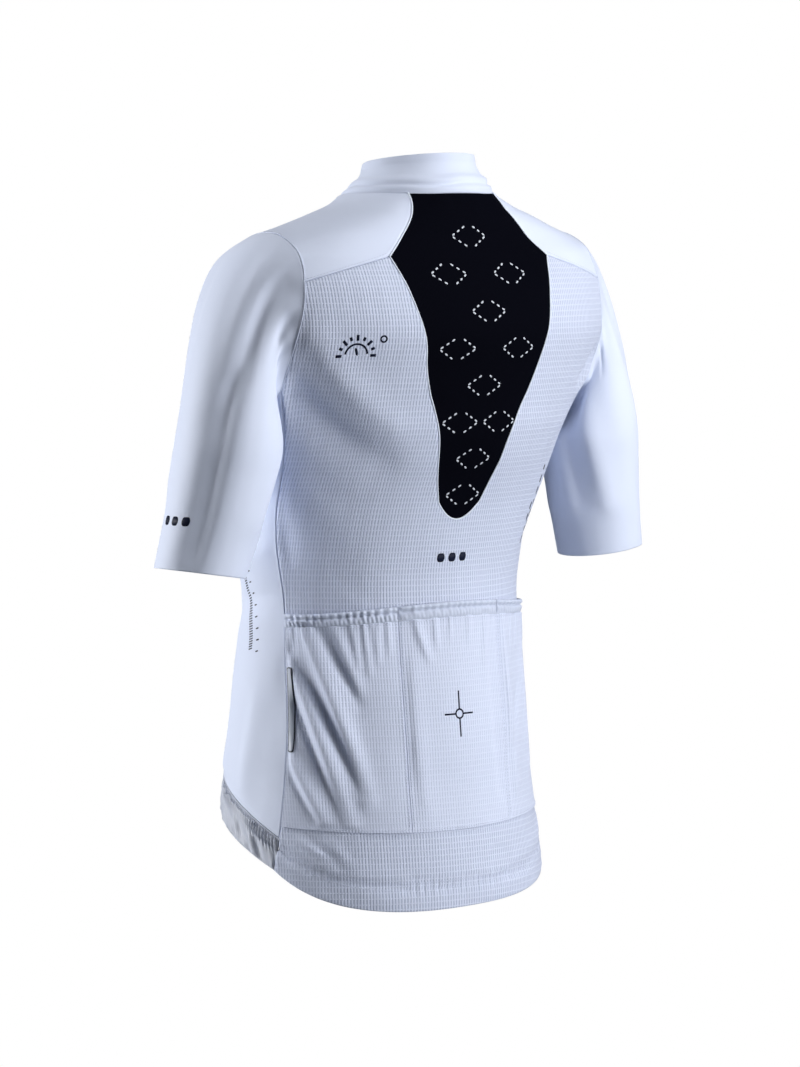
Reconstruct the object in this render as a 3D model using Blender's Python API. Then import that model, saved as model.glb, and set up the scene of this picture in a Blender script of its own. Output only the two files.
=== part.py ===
"""Cycling jersey, worn and filled out, as thin cloth pieces sewn edge to edge.

Metres, +Z up, the front faces -Y and the wearer's left is +X. The origin is the middle of the
neck opening at the height of the collar seam. Every piece of cloth is a grid of points on one
body form, given a wall along the form's own normals, so that neighbours share their seam points.
"""
import bpy
import numpy as np
from math import cos, pi, radians, sin

# ---------------------------------------------------------------- driving sizes
CLOTH = 0.0015          # wall of a cloth piece
BINDING_WALL = 0.0022   # wall of the gathered pocket binding
SEAM_GAP = 0.0003       # clear gap between two sewn pieces
NECK_RADIUS = 0.0728    # collar seam, from the neck's middle
FRONT_EDGE = 0.0035     # half the distance between the two front edges at the zip
DIVIDER_X = 0.0585      # pocket dividers, from the centre back
HEM_TILT = 0.035        # the hem hangs lower on the left, metres per metre across

# The body form: an ellipse at each height, with its own depth behind and in front of its middle.
FORM = np.array([
    # z,     half_width, middle_y, back_depth, front_depth
    (0.0300, 0.0500, 0.0030, 0.0480, 0.0440),
    (0.0100, 0.0650, 0.0030, 0.0630, 0.0580),
    (0.0000, 0.0755, 0.0020, 0.0710, 0.0640),
    (-0.0113, 0.0960, 0.0080, 0.0680, 0.0680),
    (-0.0205, 0.1220, 0.0060, 0.0735, 0.0720),
    (-0.0300, 0.1490, 0.0010, 0.0810, 0.0750),
    (-0.0400, 0.1800, -0.0040, 0.0870, 0.0775),
    (-0.0585, 0.2180, -0.0110, 0.1030, 0.0810),
    (-0.0900, 0.2300, -0.0200, 0.1275, 0.0860),
    (-0.1267, 0.2270, -0.0268, 0.1432, 0.0920),
    (-0.1570, 0.2150, -0.0262, 0.1372, 0.0980),
    (-0.1760, 0.2040, -0.0225, 0.1295, 0.1040),
    (-0.2100, 0.1810, -0.0190, 0.1200, 0.1120),
    (-0.2420, 0.1690, -0.0260, 0.1180, 0.1155),
    (-0.2710, 0.1630, -0.0340, 0.1130, 0.1165),
    (-0.2950, 0.1570, -0.0395, 0.1095, 0.1160),
    (-0.3140, 0.1520, -0.0440, 0.1090, 0.1145),
    (-0.3515, 0.1460, -0.0510, 0.1090, 0.1130),
    (-0.3800, 0.1420, -0.0540, 0.1120, 0.1140),
    (-0.4270, 0.1440, -0.0565, 0.1180, 0.1200),
    (-0.4840, 0.1470, -0.0595, 0.1280, 0.1300),
    (-0.5400, 0.1525, -0.0585, 0.1325, 0.1360),
    (-0.5900, 0.1580, -0.0545, 0.1340, 0.1400),
    (-0.6300, 0.1620, -0.0490, 0.1320, 0.1380),
    (-0.6900, 0.1650, -0.0450, 0.1300, 0.1350)])[::-1]

# Edge of the black insert, from the collar seam out to the yoke corner and in to the rounded tip.
INSERT_EDGE = np.array([
    # z,     x
    (0.0000, 0.0496), (-0.0130, 0.0550), (-0.0255, 0.0622), (-0.0440, 0.0790), (-0.0580, 0.0940),
    (-0.0850, 0.0853), (-0.1110, 0.0785), (-0.1400, 0.0707), (-0.1690, 0.0637), (-0.1950, 0.0536),
    (-0.2245, 0.0420), (-0.2650, 0.0327), (-0.2880, 0.0245)])[::-1]
INSERT_TIP_DROP = 0.017     # how far the tip hangs below the ends of its side edges
INSERT_SHIFT = 0.0035       # the tapered part lies a little to the left

# The armhole seam, once round: over the shoulder, down the back, under the arm, up the front.
ARMHOLE = np.array([
    # x,     y,       z
    (0.1665, -0.0300, -0.0430), (0.1685, -0.0080, -0.0380), (0.1700, 0.0140, -0.0385),
    (0.1730, 0.0400, -0.0475), (0.1740, 0.0525, -0.0575), (0.1745, 0.0580, -0.0690),
    (0.1765, 0.0618, -0.0800), (0.1785, 0.0634, -0.1080), (0.1810, 0.0600, -0.1240),
    (0.1830, 0.0510, -0.1480), (0.1830, 0.0390, -0.1700), (0.1820, 0.0320, -0.1810),
    (0.1810, 0.0180, -0.1930), (0.1805, -0.0030, -0.2000), (0.1770, -0.0240, -0.1950),
    (0.1700, -0.0410, -0.1780), (0.1630, -0.0490, -0.1580), (0.1570, -0.0525, -0.1250),
    (0.1560, -0.0510, -0.0950), (0.1600, -0.0430, -0.0620)])
ARM_YOKE = (0, 6, 8)        # first and last row of the table on a piece, then its seam steps
ARM_BACK = (6, 11, 5)
ARM_UNDER = (11, 16, 4)
ARM_FRONT = (16, 20, 6)

# The seam between back and front, below the armhole.
SIDE_SEAM = np.array([
    # z,     y
    (-0.1810, 0.0320), (-0.2140, 0.0200), (-0.2450, 0.0080), (-0.2790, -0.0070),
    (-0.3100, -0.0205), (-0.3430, -0.0250), (-0.3900, -0.0235), (-0.4400, -0.0205),
    (-0.5200, -0.0140), (-0.5920, -0.0120), (-0.6326, -0.0145)])[::-1]

# Rows of the back, from the collar seam to the hem: height at the centre back, the row's end at
# the side seam where it has one, and the height of the insert's edge where it is cut there.
CORNER_ROW, UNDERARM_ROW, TIP_ROW, POCKET_ROW, BASE_ROW, HEM_ROW = 3, 8, 11, 14, 24, 27
INSERT_ROWS = (0.0, -0.018, -0.038, -0.058, -0.084, -0.110, -0.136, -0.161, -0.187, -0.222,
               -0.256, -0.288)
TIP_Z, POCKET_TOP_Z, POCKET_BASE_Z, HEM_Z = -0.305, -0.383, -0.5965, -0.669
SIDE_TIP_Z, SIDE_POCKET_Z, SIDE_BASE_Z = -0.288, -0.393, -0.592
BAND_TOP_Z, SIDE_HEM_Z = -0.6025, -0.6326

# Columns of the back, from the centre out.
INSERT_COLS, DIVIDER_COL, SIDE_COL = 3, 5, 11

# The front: columns from the zip, rows from the collar seam down.
NECK_COLS = 4
FORWARD_ANGLE = radians(130)    # where the forward seam meets the collar, from the centre back
INSERT_ANGLE = radians(43)      # where the insert's edge meets the collar
SIDE_NECK_DROP, FRONT_NECK_DROP = 0.004, 0.022
CHEST_DROP = 0.010              # the chest row at the zip, below the front end of the armhole
FRONT_HEM_Z, FRONT_BAND = -0.5780, 0.0430

# The left sleeve: rings round the arm below the armhole.
SLEEVE_RINGS = np.array([
    # x,     y,       z,       out_in, front_back, tilt (the inner side hangs lower)
    (0.2200, 0.0010, -0.2350, 0.0455, 0.0490, 0.008),
    (0.2310, -0.0060, -0.3020, 0.0450, 0.0460, 0.007),
    (0.2425, -0.0120, -0.3487, 0.0420, 0.0430, 0.0065)])
SLEEVE_STEPS = (7, 3, 2)        # rows down to each ring
CAP_LEAN = np.array([0.0, -0.25, 0.0])          # the sleeve cap is cut towards the front
CAP_FULLNESS, CAP_LEAST = 0.86, 0.06
UNDERARM_WAY = np.array([1.0, 0.0, -0.25])      # how the sleeve leaves the bottom of the armhole

# Soft folds of a sleeve: along a line at an angle round the arm (0 outside, 90 behind).
SLEEVE_FOLDS = (
    # angle, from row, to row, depth, half width in degrees
    (62.0, 2.0, 12.0, 0.0045, 20.0),
    (112.0, 1.0, 6.0, 0.0030, 14.0),
    (250.0, 2.0, 10.0, 0.0040, 20.0))

# The collar: share of the height, ring radius and how far back the ring's middle lies.
COLLAR = (
    (0.00, 0.0728, 0.0000),
    (0.25, 0.0685, 0.0020),
    (0.50, 0.0598, 0.0035),
    (0.75, 0.0548, 0.0042),
    (1.00, 0.0528, 0.0045))
COLLAR_TOP, COLLAR_SLOPE, COLLAR_FRONT_DROP = 0.0378, 0.0066, 0.0110

# Ridges of the left pocket, where the load pulls it down to the side: along (0 at the divider,
# 1 at the side seam), down (0 at the mouth, 1 at the base).
POCKET_RIDGES = (
    # along, down, along, down, height, half width in metres
    (0.90, 0.12, 0.45, 0.92, 0.0034, 0.0085),
    (0.63, 0.12, 0.13, 0.82, 0.0030, 0.0085),
    (0.96, 0.42, 0.60, 0.94, 0.0028, 0.0080),
    (0.46, 0.12, 0.28, 0.42, 0.0020, 0.0060),
    (0.94, 0.72, 0.78, 0.95, 0.0018, 0.0060))
# The right pocket's one upright fold, in the same terms, and the centre pocket's soft hollow.
RIGHT_RIDGES = (
    (0.22, 0.10, 0.30, 0.86, 0.0026, 0.0080),
    (0.62, 0.14, 0.70, 0.70, 0.0018, 0.0090))
CENTRE_RIDGES = ((0.12, 0.12, 0.20, 0.80, 0.0012, 0.0100),)
RIDGE_RIM = 0.012           # ridges fade out this near a pocket's seams
FINE_ROWS = 2               # pocket rows to one row of the back
GATHERS = 6                 # binding columns to one column of the back
GATHER_DEPTH = 0.0007
TAB_ROWS, TAB_COLS, TAB_WALL, TAB_INSET = (5, 13), 2, 0.0010, 0.0015
BAND_RUCHE = 0.0009

# The zip's slider and pull, in the slider's own frame: across, out from the cloth, down.
SLIDER_ACROSS = (-0.0045, -0.0026, 0.0026, 0.0045)
SLIDER_OUT = (0.0, 0.0026, 0.0048, 0.0062)
SLIDER_DOWN = (-0.0062, -0.0008, 0.0008, 0.0062)
SLIDER_DROP = 0.0105            # below the collar's top edge
PULL_HOLE, PULL_EYE, PULL_NECK, PULL_TAIL = 0.00145, 0.0026, 0.0056, 0.0240
PULL_HALF_WIDTH, PULL_HALF_WALL = 0.0022, 0.0006

# A seam's rim is split from the point that is further along this way, alike on both pieces.
RIM_ORDER = np.array([0.11, 0.37, 1.0])

# Linear colours of the materials.
WHITE = (0.72, 0.76, 0.82)
MESH_WHITE = (0.66, 0.71, 0.78)
BLACK = (0.012, 0.013, 0.020)
GREY = (0.42, 0.46, 0.52)
METAL = (0.60, 0.61, 0.63)


# ---------------------------------------------------------------- curves and the body form
def smooth_table(table, at):
    """Columns of an ascending table at the given first-column values, without overshoot."""
    at = np.asarray(at, float)
    xs = table[:, 0]
    ys = table[:, 1:]
    step = np.diff(xs)[:, None]
    rise = np.diff(ys, axis=0) / step
    slope = np.zeros_like(ys)
    same = rise[:-1] * rise[1:] > 0
    w_in = 2 * step[1:] + step[:-1]
    w_out = step[1:] + 2 * step[:-1]
    safe_in = np.where(same, rise[:-1], 1.0)
    safe_out = np.where(same, rise[1:], 1.0)
    slope[1:-1] = np.where(same, (w_in + w_out) / (w_in / safe_in + w_out / safe_out), 0.0)
    slope[0] = rise[0]
    slope[-1] = rise[-1]
    k = np.clip(np.searchsorted(xs, at, side="right") - 1, 0, len(xs) - 2)
    width = (xs[k + 1] - xs[k])[..., None]
    t = np.clip((at - xs[k])[..., None] / width, 0, 1)
    blend_a = (1 + 2 * t) * (1 - t) ** 2
    blend_b = t * t * (3 - 2 * t)
    lead_a = t * (1 - t) ** 2 * width
    lead_b = t * t * (t - 1) * width
    return blend_a * ys[k] + blend_b * ys[k + 1] + lead_a * slope[k] + lead_b * slope[k + 1]


def off_form(p):
    """Below zero inside the body form, zero on it."""
    half, middle, back, front = np.moveaxis(smooth_table(FORM, p[..., 2]), -1, 0)
    dy = p[..., 1] - middle
    depth = np.where(dy > 0, back, front)
    return (p[..., 0] / half) ** 2 + (dy / depth) ** 2 - 1


def form_slope(p):
    step = 1e-4
    parts = []
    for axis in np.eye(3) * step:
        parts.append((off_form(p + axis) - off_form(p - axis)) / (2 * step))
    return np.stack(parts, axis=-1)


def unit(v):
    return v / np.linalg.norm(v, axis=-1, keepdims=True)


def snap(p):
    """The nearest points on the body form."""
    for _ in range(6):
        g = form_slope(p)
        p = p - off_form(p)[..., None] * g / (g * g).sum(-1, keepdims=True)
    return p


def evenly(curve, steps):
    """Points at equal distances along a polyline."""
    run = np.concatenate([[0], np.cumsum(np.linalg.norm(np.diff(curve, axis=0), axis=1))])
    at = np.linspace(0, run[-1], steps + 1)
    return np.stack([np.interp(at, run, curve[:, k]) for k in range(3)], axis=-1)


def through(points, steps=12):
    """A closed Catmull-Rom curve through the points, with so many steps between two of them."""
    before, here = np.roll(points, 1, 0), points
    after, beyond = np.roll(points, -1, 0), np.roll(points, -2, 0)
    t = (np.arange(steps) / steps)[None, :, None]
    p0, p1, p2, p3 = (q[:, None, :] for q in (before, here, after, beyond))
    curve = p1 + 0.5 * t * (p2 - p0 + t * (2 * p0 - 5 * p1 + 4 * p2 - p3
                            + t * (3 * (p1 - p2) + p3 - p0)))
    return curve.reshape(-1, 3)


def arm_part(part):
    """Seam points of one stretch of the armhole, ends included."""
    first, last, steps = part
    fine = 12
    curve = through(ARMHOLE, fine)
    curve = np.concatenate([curve, curve[:1]])
    return snap(evenly(curve[first * fine:last * fine + 1], steps))


def neck_point(angle):
    """A point of the collar seam; the angle runs from the centre back to the wearer's left."""
    drop = SIDE_NECK_DROP * (1 - cos(angle)) + FRONT_NECK_DROP * max(0.0, -cos(angle)) ** 3
    return np.array([NECK_RADIUS * sin(angle), NECK_RADIUS * cos(angle), -drop])


def neck_points(start, end, steps):
    return snap(np.array([neck_point(a) for a in np.linspace(start, end, steps + 1)]))


ZIP_ANGLE = pi - FRONT_EDGE / NECK_RADIUS


def form_point(across, z):
    """A point of the form at an ellipse angle from the centre back."""
    half, middle, back, front = np.moveaxis(smooth_table(FORM, z), -1, 0)
    depth = np.where(np.cos(across) > 0, back, front)
    return np.stack([half * np.sin(across), middle + depth * np.cos(across), z + 0 * across], -1)


def form_angle(p):
    half, middle, back, front = np.moveaxis(smooth_table(FORM, p[..., 2]), -1, 0)
    dy = p[..., 1] - middle
    return np.arctan2(p[..., 0] / half, dy / np.where(dy > 0, back, front))


def on_form(start, end, steps, power=1.0):
    """A curve on the form between two points; its height changes with the angle to a power."""
    a0, a1 = form_angle(start), form_angle(end)
    t = np.linspace(0, 1, steps + 1)
    return form_point(a0 + (a1 - a0) * t, start[2] + (end[2] - start[2]) * t ** power)


def relax(p, fixed, passes=20):
    """Even out a grid on the form; fixed points and missing ones stay."""
    for _ in range(passes):
        mean = p.copy()
        mean[1:-1, 1:-1] = (p[:-2, 1:-1] + p[2:, 1:-1] + p[1:-1, :-2] + p[1:-1, 2:]) / 4
        p = np.where(fixed[..., None], p, snap(mean))
    return p


def coons(top, bottom, first, last):
    """A grid filled in from its four edges, then laid on the form."""
    v = np.linspace(0, 1, len(first))[:, None, None]
    u = np.linspace(0, 1, len(top))[None, :, None]
    p = (1 - v) * top + v * bottom + (1 - u) * first[:, None] + u * last[:, None]
    p -= (1 - v) * ((1 - u) * top[0] + u * top[-1]) + v * ((1 - u) * bottom[0] + u * bottom[-1])
    return p


def mirrored(p):
    return p * np.array([-1, 1, 1])


# ---------------------------------------------------------------- seam points
def side_point(z):
    y = smooth_table(SIDE_SEAM, z)[0]
    half, middle, back, front = smooth_table(FORM, z)
    depth = back if y > middle else front
    return np.array([half * (1 - ((y - middle) / depth) ** 2) ** 0.5, y, z])


def back_point(x, z):
    half, middle, back, front = smooth_table(FORM, z)
    return np.array([x, middle + back * (1 - (x / half) ** 2) ** 0.5, z])


def side_heights():
    """Heights of the rows at the side seam, from the underarm to the hem."""
    upper = np.linspace(ARMHOLE[ARM_BACK[1]][2], SIDE_TIP_Z, TIP_ROW - UNDERARM_ROW + 1)
    waist = np.linspace(SIDE_TIP_Z, SIDE_POCKET_Z, POCKET_ROW - TIP_ROW + 1)
    pocket = np.linspace(SIDE_POCKET_Z, SIDE_BASE_Z, BASE_ROW - POCKET_ROW + 1)
    hem = np.linspace(BAND_TOP_Z, SIDE_HEM_Z, HEM_ROW - BASE_ROW)
    return np.concatenate([upper, waist[1:], pocket[1:], hem])


def back_half():
    """The left half of the back as one grid, centre column first; rows above the corner stop
    at the insert's edge."""
    p = np.zeros((HEM_ROW + 1, SIDE_COL + 1, 3))
    edge = np.array([back_point(smooth_table(INSERT_EDGE, z)[0], z) for z in INSERT_ROWS])
    edge[0] = neck_points(0, INSERT_ANGLE, INSERT_COLS)[-1]
    arm = arm_part(ARM_BACK)
    side = np.array([side_point(z) for z in side_heights()])
    outer = np.concatenate([np.zeros((CORNER_ROW, 3)), arm, side[1:]])
    p[0, :INSERT_COLS + 1] = neck_points(0, INSERT_ANGLE, INSERT_COLS)
    for r in range(1, TIP_ROW + 1):
        drop = INSERT_TIP_DROP * (r / TIP_ROW) ** 4
        centre = form_point(np.array(0.0), np.array(edge[r][2] - drop))
        p[r, :INSERT_COLS + 1] = on_form(centre, edge[r], INSERT_COLS, 2.0)
        p[r, INSERT_COLS] = edge[r]
    for r in range(CORNER_ROW, TIP_ROW + 1):
        p[r, INSERT_COLS:] = on_form(edge[r], outer[r], SIDE_COL - INSERT_COLS)
    lower = ((TIP_ROW, TIP_Z), (POCKET_ROW, POCKET_TOP_Z), (BASE_ROW, POCKET_BASE_Z),
             (HEM_ROW, HEM_Z))
    for (r0, z0), (r1, z1) in zip(lower, lower[1:]):
        for r in range(r0 + 1, r1 + 1):
            centre_z = z0 + (z1 - z0) * (r - r0) / (r1 - r0)
            p[r] = lower_row(centre_z, outer[r], r)
    return p


def lower_row(centre_z, outer, r):
    """A row below the insert: even to the divider, then even to the side seam."""
    end = form_angle(outer)
    half = smooth_table(FORM, centre_z)[0]
    divider = np.arcsin(DIVIDER_X / half)
    across = np.concatenate([np.linspace(0, divider, DIVIDER_COL + 1),
                             np.linspace(divider, end, SIDE_COL - DIVIDER_COL + 1)[1:]])
    s = across / end
    level = s * s * (3 - 2 * s) if r <= BASE_ROW else s ** 3
    p = form_point(across, centre_z + (outer[2] - centre_z) * level)
    p[-1] = outer
    return p


def back_grid():
    """The whole back, right side seam first."""
    half = back_half()
    p = np.concatenate([mirrored(half[:, :0:-1]), half], axis=1)
    fixed = np.ones(p.shape[:2], bool)
    mid = SIDE_COL
    fixed[CORNER_ROW + 1:POCKET_ROW, 1:-1] = False
    fixed[POCKET_ROW + 1:BASE_ROW, 1:-1] = False
    fixed[BASE_ROW + 1:HEM_ROW, 1:-1] = False
    fixed[:TIP_ROW + 1, mid - INSERT_COLS] = True
    fixed[:TIP_ROW + 1, mid + INSERT_COLS] = True
    fixed[TIP_ROW, mid - INSERT_COLS:mid + INSERT_COLS + 1] = True
    fixed[:, mid - DIVIDER_COL] |= np.arange(HEM_ROW + 1) > POCKET_ROW
    fixed[:, mid + DIVIDER_COL] |= np.arange(HEM_ROW + 1) > POCKET_ROW
    p = relax(p, fixed)
    row = np.arange(HEM_ROW + 1)[:, None]
    inner = 1 - np.abs(np.linspace(-1, 1, 2 * SIDE_COL + 1))[None, :] ** 4
    low = np.clip((row - POCKET_ROW) / (HEM_ROW - POCKET_ROW), 0, 1) ** 2
    near_tip = np.clip(1 - ((row - TIP_ROW + 1) / 4) ** 2, 0, 1)
    moved = p.copy()
    moved[..., 2] -= HEM_TILT * p[..., 0] * low * inner
    moved[..., 0] += INSERT_SHIFT * near_tip * inner
    return np.where(((low + near_tip) * inner > 0)[..., None], snap(moved), p)


def yoke_grid(back):
    """The left yoke: rows from the back seam over the shoulder, columns from neck to armhole."""
    mid = SIDE_COL
    down = back[:CORNER_ROW + 1, mid + INSERT_COLS]
    along = back[CORNER_ROW, mid + INSERT_COLS:]
    back_edge = np.concatenate([down, along[1:]])
    arm = arm_part(ARM_YOKE)[::-1]
    neck = neck_points(INSERT_ANGLE, FORWARD_ANGLE, ARM_YOKE[2])
    straight = np.linspace(0, 1, len(back_edge))[:, None]
    forward = snap(neck[-1] + (arm[-1] - neck[-1]) * straight)
    forward[0], forward[-1] = neck[-1], arm[-1]
    p = coons(back_edge, forward, neck, arm)
    fixed = np.zeros(p.shape[:2], bool)
    fixed[0] = fixed[-1] = True
    fixed[:, 0] = fixed[:, -1] = True
    p = np.where(fixed[..., None], p, snap(p))
    return relax(p, fixed, 12)


def front_grid(back, yoke):
    """The left front: rows from the collar down, columns from the zip to the side seam."""
    steps = ARM_FRONT[2]
    forward = yoke[-1]
    neck = neck_points(ZIP_ANGLE, FORWARD_ANGLE, NECK_COLS)
    top = np.concatenate([neck, forward[1:]])
    arm = arm_part(ARM_FRONT)[::-1]
    under = arm_part(ARM_UNDER)[::-1]
    side = back[UNDERARM_ROW:BASE_ROW + 2, -1]
    chest_z = arm[-1][2] - CHEST_DROP
    zip_top = [zip_point(z) for z in np.linspace(neck[0][2], chest_z, steps + 1)]
    zip_low = [zip_point(z) for z in np.linspace(chest_z, FRONT_HEM_Z + FRONT_BAND, len(side))]
    zip_top, zip_low = np.array(zip_top), np.array(zip_low)
    zip_top[0] = neck[0]
    chest = on_form(zip_top[-1], arm[-1], len(top) - 1, 2.0)
    chest[0], chest[-1] = zip_top[-1], arm[-1]
    band = on_form(zip_low[-1], side[-1], len(top) + ARM_UNDER[2] - 1, 2.0)
    band[0], band[-1] = zip_low[-1], side[-1]
    upper = coons(top, chest, zip_top, arm)
    lower = coons(np.concatenate([chest, under[1:]]), band, zip_low, side)
    rows, cols = steps + len(side), lower.shape[1]
    p = np.zeros((rows, cols, 3))
    p[:steps + 1, :len(top)] = upper
    p[steps:] = lower
    p[:steps, len(top):] = under[1:]
    fixed = np.zeros((rows, cols), bool)
    fixed[0] = fixed[-1] = True
    fixed[:, 0] = fixed[:, -1] = True
    fixed[:steps + 1, len(top) - 1:] = True
    p = np.where(fixed[..., None], p, snap(p))
    return relax(p, fixed, 30)


def zip_point(z):
    half, middle, back, front = smooth_table(FORM, z)
    return np.array([FRONT_EDGE, middle - front * (1 - (FRONT_EDGE / half) ** 2) ** 0.5, z])


def sleeve_ring(row, angles):
    x, y, z, out_in, front_back, tilt = row
    return np.stack([x + out_in * np.cos(angles), y + front_back * np.sin(angles),
                     z + tilt * np.cos(angles)], axis=-1)


def hermite(a, b, slope_a, slope_b, steps):
    t = np.linspace(0, 1, steps + 1)[:, None, None]
    return ((1 + 2 * t) * (1 - t) ** 2 * a + t * t * (3 - 2 * t) * b
            + t * (1 - t) ** 2 * slope_a + t * t * (t - 1) * slope_b)


def sleeve_grid():
    """The left sleeve: closed rings from the armhole to the cuff, in the armhole's seam points."""
    loop = np.concatenate([arm_part(part)[:-1] for part in (ARM_YOKE, ARM_BACK, ARM_UNDER, ARM_FRONT)])
    centre = loop.mean(0)
    angles = np.unwrap(np.arctan2(loop[:, 1] - centre[1], loop[:, 2] - centre[2]))
    round_loop = np.linspace(0, 2 * pi, len(loop), endpoint=False)
    angles = 0.5 * angles + 0.5 * (round_loop + (angles - round_loop).mean())
    upper, lower, cuff = (sleeve_ring(row, angles) for row in SLEEVE_RINGS)
    axis = SLEEVE_RINGS[1][:3] - SLEEVE_RINGS[0][:3]
    normal = unit(form_slope(loop))
    tangent = np.roll(loop, -1, 0) - np.roll(loop, 1, 0)
    outward = unit(np.cross(normal, tangent))
    outward *= np.sign(outward @ np.array([1.0, 0, -0.6]))[:, None]
    low, high = loop[:, 2].min(), loop[:, 2].max()
    share = np.clip((loop[:, 2:] - low) / (high - low) * 2, 0, 1)
    outward = unit((outward + CAP_LEAN) * share + UNDERARM_WAY * (1 - share))
    reach = np.linalg.norm(upper - loop, axis=1, keepdims=True)
    lead = np.maximum(reach * CAP_FULLNESS, CAP_LEAST)
    first = hermite(loop, upper, outward * lead, unit(axis) * reach, SLEEVE_STEPS[0])
    second = upper + (lower - upper) * np.linspace(0, 1, SLEEVE_STEPS[1] + 1)[:, None, None]
    third = lower + (cuff - lower) * np.linspace(0, 1, SLEEVE_STEPS[2] + 1)[:, None, None]
    p = np.concatenate([first, second[1:], third[1:]])
    row = np.arange(len(p))[:, None]
    turn = np.degrees(angles)[None, :]
    sink = 0
    for at, start, end, depth, width in SLEEVE_FOLDS:
        away = (turn - at + 180) % 360 - 180
        along = np.clip((row - start) / 2, 0, 1) * np.clip((end - row) / 2 + 0.6, 0, 1)
        sink = sink + depth * np.exp(-(away / width) ** 2) * along * np.clip(row / 2, 0, 1)
    return p - grid_normals(p, True) * sink[..., None]


def collar_grid(neck):
    """The collar from its seam up, in the seam's own points, right front edge first."""
    angle = np.arctan2(neck[:, 0], neck[:, 1])
    forward = np.maximum(0, -np.cos(angle)) ** 3
    top = COLLAR_TOP - COLLAR_SLOPE * (1 - np.cos(angle)) - COLLAR_FRONT_DROP * forward
    rows = [neck]
    for share, radius, middle in COLLAR[1:]:
        ring = np.stack([radius * np.sin(angle), middle + radius * np.cos(angle),
                         neck[:, 2] + (top - neck[:, 2]) * share], axis=-1)
        for end, sign in ((0, -1), (-1, 1)):
            ring[end, 0] = sign * FRONT_EDGE
        rows.append(ring)
    return np.array(rows)


def finer(p, rows, cols):
    """A grid with each cell cut into rows by cols equal cells."""
    r = np.linspace(0, p.shape[0] - 1, (p.shape[0] - 1) * rows + 1)
    c = np.linspace(0, p.shape[1] - 1, (p.shape[1] - 1) * cols + 1)
    i = np.minimum(r.astype(int), p.shape[0] - 2)
    j = np.minimum(c.astype(int), p.shape[1] - 2)
    u = (r - i)[:, None, None]
    w = (c - j)[None, :, None]
    near = p[i][:, j] * (1 - w) + p[i][:, j + 1] * w
    far = p[i + 1][:, j] * (1 - w) + p[i + 1][:, j + 1] * w
    return near * (1 - u) + far * u


def pocket_stand_off(p, depth, ridges):
    """How far a pocket's cloth stands off the back: most at the mouth, nothing at its seams."""
    v = np.linspace(0, 1, p.shape[0])[:, None]
    u = np.linspace(0, 1, p.shape[1])[None, :]
    lift = depth * np.sin(pi * u) ** 0.7 * np.cos(pi / 2 * v) ** 1.2
    width = np.linalg.norm(p[0, -1] - p[0, 0])
    height = np.linalg.norm(p[-1, 0] - p[0, 0])
    rim = np.clip(np.minimum(np.minimum(u, 1 - u) * width, (1 - v) * height) / RIDGE_RIM, 0, 1)
    for u0, v0, u1, v1, rise, spread in ridges:
        line = np.array([(u1 - u0) * width, (v1 - v0) * height])
        x, y = (u - u0) * width, (v - v0) * height
        t = (x * line[0] + y * line[1]) / (line @ line)
        off = np.abs(x * line[1] - y * line[0]) / np.linalg.norm(line)
        ends = np.clip(1.15 - np.abs(2 * t - 1) ** 3, 0, 1)
        lift = lift + rise * np.exp(-(off / spread) ** 2) * ends * rim
    return lift


# ---------------------------------------------------------------- solids
def cells_of(p, missing=None):
    cells = np.ones((p.shape[0] - 1, p.shape[1] - 1), bool)
    if missing:
        rows, cols = missing
        cells[rows, cols] = False
    return cells


def grid_normals(p, closed=False):
    """Normals of a free grid from its own neighbours, pointing right-handed from rows to columns."""
    down = np.gradient(p, axis=0)
    if closed:
        across = np.roll(p, -1, 1) - np.roll(p, 1, 1)
    else:
        across = np.gradient(p, axis=1)
    return unit(np.cross(down, across))


def inset(p, normal, cells, closed, distance):
    """Edge points moved into the piece by half a seam gap, mitred at corners."""
    rows, cols = p.shape[:2]
    found = {}
    wide = cells.shape[1]

    def edge(a, b, inner):
        along = p[b] - p[a]
        for node, other in ((a, inner[0]), (b, inner[1])):
            side = np.cross(normal[node], along)
            side /= np.linalg.norm(side)
            if side @ (p[other] - p[node]) < 0:
                side = -side
            found.setdefault(node, []).append(side)

    for r in range(cells.shape[0]):
        for c in range(wide):
            if not cells[r, c]:
                continue
            d = (c + 1) % cols
            corners = ((r, c), (r, d), (r + 1, d), (r + 1, c))
            beyond = ((r - 1, c), (r, c + 1), (r + 1, c), (r, c - 1))
            for k in range(4):
                i, j = beyond[k]
                if closed:
                    j %= wide
                if 0 <= i < cells.shape[0] and 0 <= j < wide and cells[i, j]:
                    continue
                a, b = corners[k], corners[(k + 1) % 4]
                edge(a, b, (corners[(k + 3) % 4], corners[(k + 2) % 4]))
    moved = p.copy()
    for node, sides in found.items():
        first = sides[0]
        other = min(sides, key=lambda s: s @ first)
        moved[node] += distance * (first + other) / (1 + first @ other)
    return moved


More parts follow.
